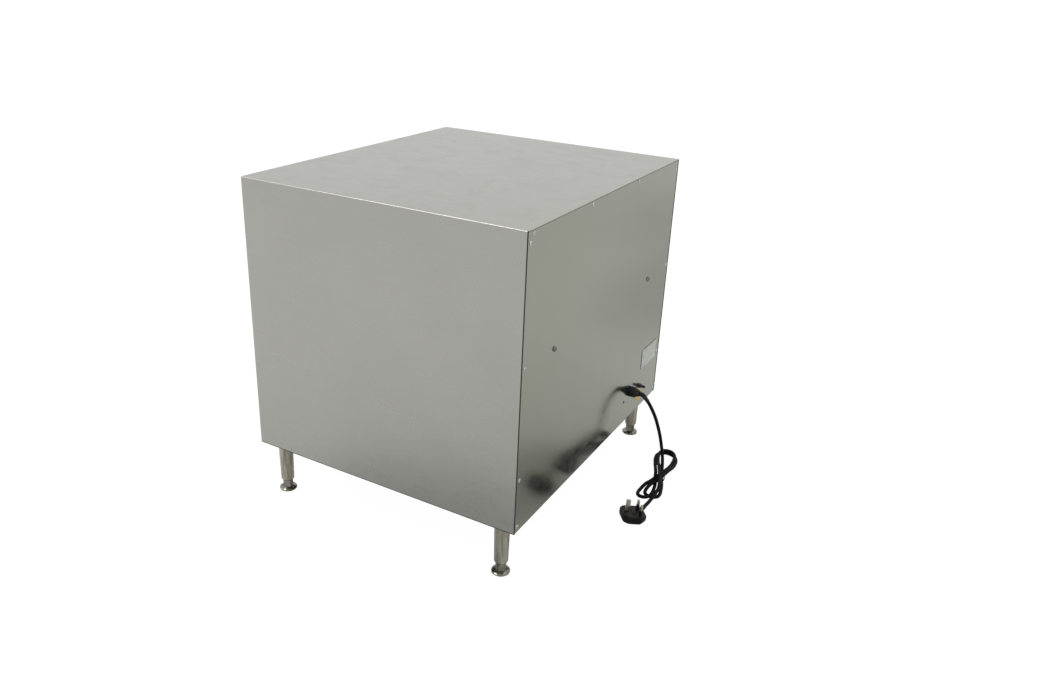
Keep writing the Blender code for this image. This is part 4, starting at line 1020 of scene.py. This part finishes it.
choose = sky.nodes.new("ShaderNodeMixShader")
sky.links.new(path.outputs["Is Camera Ray"], choose.inputs[0])
sky.links.new(lit.outputs[0], choose.inputs[1])
sky.links.new(sky_out.outputs[0], choose.inputs[2])
sky.links.new(choose.outputs[0], sky.nodes["World Output"].inputs["Surface"])

floor_mesh = block("floor", (-FLOOR_HALF, -FLOOR_HALF, -0.02), (FLOOR_HALF, FLOOR_HALF, 0.0))
floor = bpy.data.objects.new("floor", floor_mesh)
scene.collection.objects.link(floor)
paper = bpy.data.materials.new("floor_paper")
paper.use_nodes = True
tree = paper.node_tree
tree.nodes.remove(tree.nodes["Principled BSDF"])


def floor_layer(albedo, glow, shade_by=None):
    """Paper that is partly lit and partly glows, darkened by painted shadow where shade_by is low."""
    diffuse = tree.nodes.new("ShaderNodeBsdfDiffuse")
    diffuse.inputs["Color"].default_value = (albedo, albedo, albedo, 1.0)
    light = tree.nodes.new("ShaderNodeEmission")
    light.inputs["Strength"].default_value = glow
    both = tree.nodes.new("ShaderNodeAddShader")
    tree.links.new(diffuse.outputs[0], both.inputs[0])
    tree.links.new(light.outputs[0], both.inputs[1])
    if shade_by is None:
        return both.outputs[0]
    black = tree.nodes.new("ShaderNodeBsdfDiffuse")
    black.inputs["Color"].default_value = (0.01, 0.01, 0.01, 1.0)
    shaded = tree.nodes.new("ShaderNodeMixShader")
    tree.links.new(shade_by, shaded.inputs[0])
    tree.links.new(black.outputs[0], shaded.inputs[1])
    tree.links.new(both.outputs[0], shaded.inputs[2])
    return shaded.outputs[0]


def painted_shadow_patch(centre, half_sizes, depth):
    """One soft oval of painted shadow on the floor: 1 outside it and 1 - depth in its middle."""
    mapping = tree.nodes.new("ShaderNodeMapping")
    mapping.vector_type = "TEXTURE"
    mapping.inputs["Location"].default_value = (*centre, 0.0)
    mapping.inputs["Scale"].default_value = (*half_sizes, 1.0)
    tree.links.new(floor_place, mapping.inputs["Vector"])
    distance = tree.nodes.new("ShaderNodeVectorMath")
    distance.operation = "LENGTH"
    tree.links.new(mapping.outputs["Vector"], distance.inputs[0])
    fade = tree.nodes.new("ShaderNodeMapRange")
    fade.interpolation_type = "SMOOTHSTEP"
    tree.links.new(distance.outputs["Value"], fade.inputs["Value"])
    for socket, number in zip(RANGE_SOCKETS, (0.35, 1.0, 1.0 - depth, 1.0)):
        fade.inputs[socket].default_value = number
    return fade.outputs["Result"]


# The floor that the metal reflects carries painted shadows: beside the cabinet, under its lead and in two
# wide patches further off on the service side. The camera itself sees plain pale paper.
floor_place = tree.nodes.new("ShaderNodeTexCoord").outputs["Object"]
painted_shadows = [
    painted_shadow_patch((0.44, 0.15), (0.20, 0.50), 0.36),
    painted_shadow_patch((0.04, 0.42), (0.26, 0.14), 0.36),
    painted_shadow_patch((-1.28, 0.47), (0.75, 0.40), 0.27),
    painted_shadow_patch((-2.20, 0.68), (1.00, 0.50), 0.22),
]
# The product of the painted shadow ovals
shading = painted_shadows[0]
for dim in painted_shadows[1:]:
    product = tree.nodes.new("ShaderNodeMath")
    product.operation = "MULTIPLY"
    tree.links.new(shading, product.inputs[0])
    tree.links.new(dim, product.inputs[1])
    shading = product.outputs[0]
ray = tree.nodes.new("ShaderNodeLightPath")
pick = tree.nodes.new("ShaderNodeMixShader")
tree.links.new(ray.outputs["Is Camera Ray"], pick.inputs[0])
tree.links.new(floor_layer(albedo=0.70, glow=0.05, shade_by=shading), pick.inputs[1])
tree.links.new(floor_layer(albedo=0.07, glow=0.97), pick.inputs[2])
tree.links.new(pick.outputs[0], tree.nodes["Material Output"].inputs["Surface"])
floor_mesh.materials.append(paper)


def soft_light(name, direction, distance, size, radiance):
    """A square soft light that faces the cabinet's middle."""
    data = bpy.data.lights.new(name, "AREA")
    data.shape = "SQUARE"
    data.size = size
    data.energy = radiance * math.pi * size * size
    light = bpy.data.objects.new(name, data)
    aim = Vector((0.0, 0.0, 0.35))
    light.location = aim + Vector(direction).normalized() * distance
    light.rotation_euler = (aim - light.location).to_track_quat("-Z", "Y").to_euler()
    scene.collection.objects.link(light)


soft_light("fold_light", (0.378, -0.45, 0.809), distance=4.0, size=1.6, radiance=3.5)
soft_light("front_light", (0.30, -0.85, 0.45), distance=4.5, size=1.8, radiance=2.0)
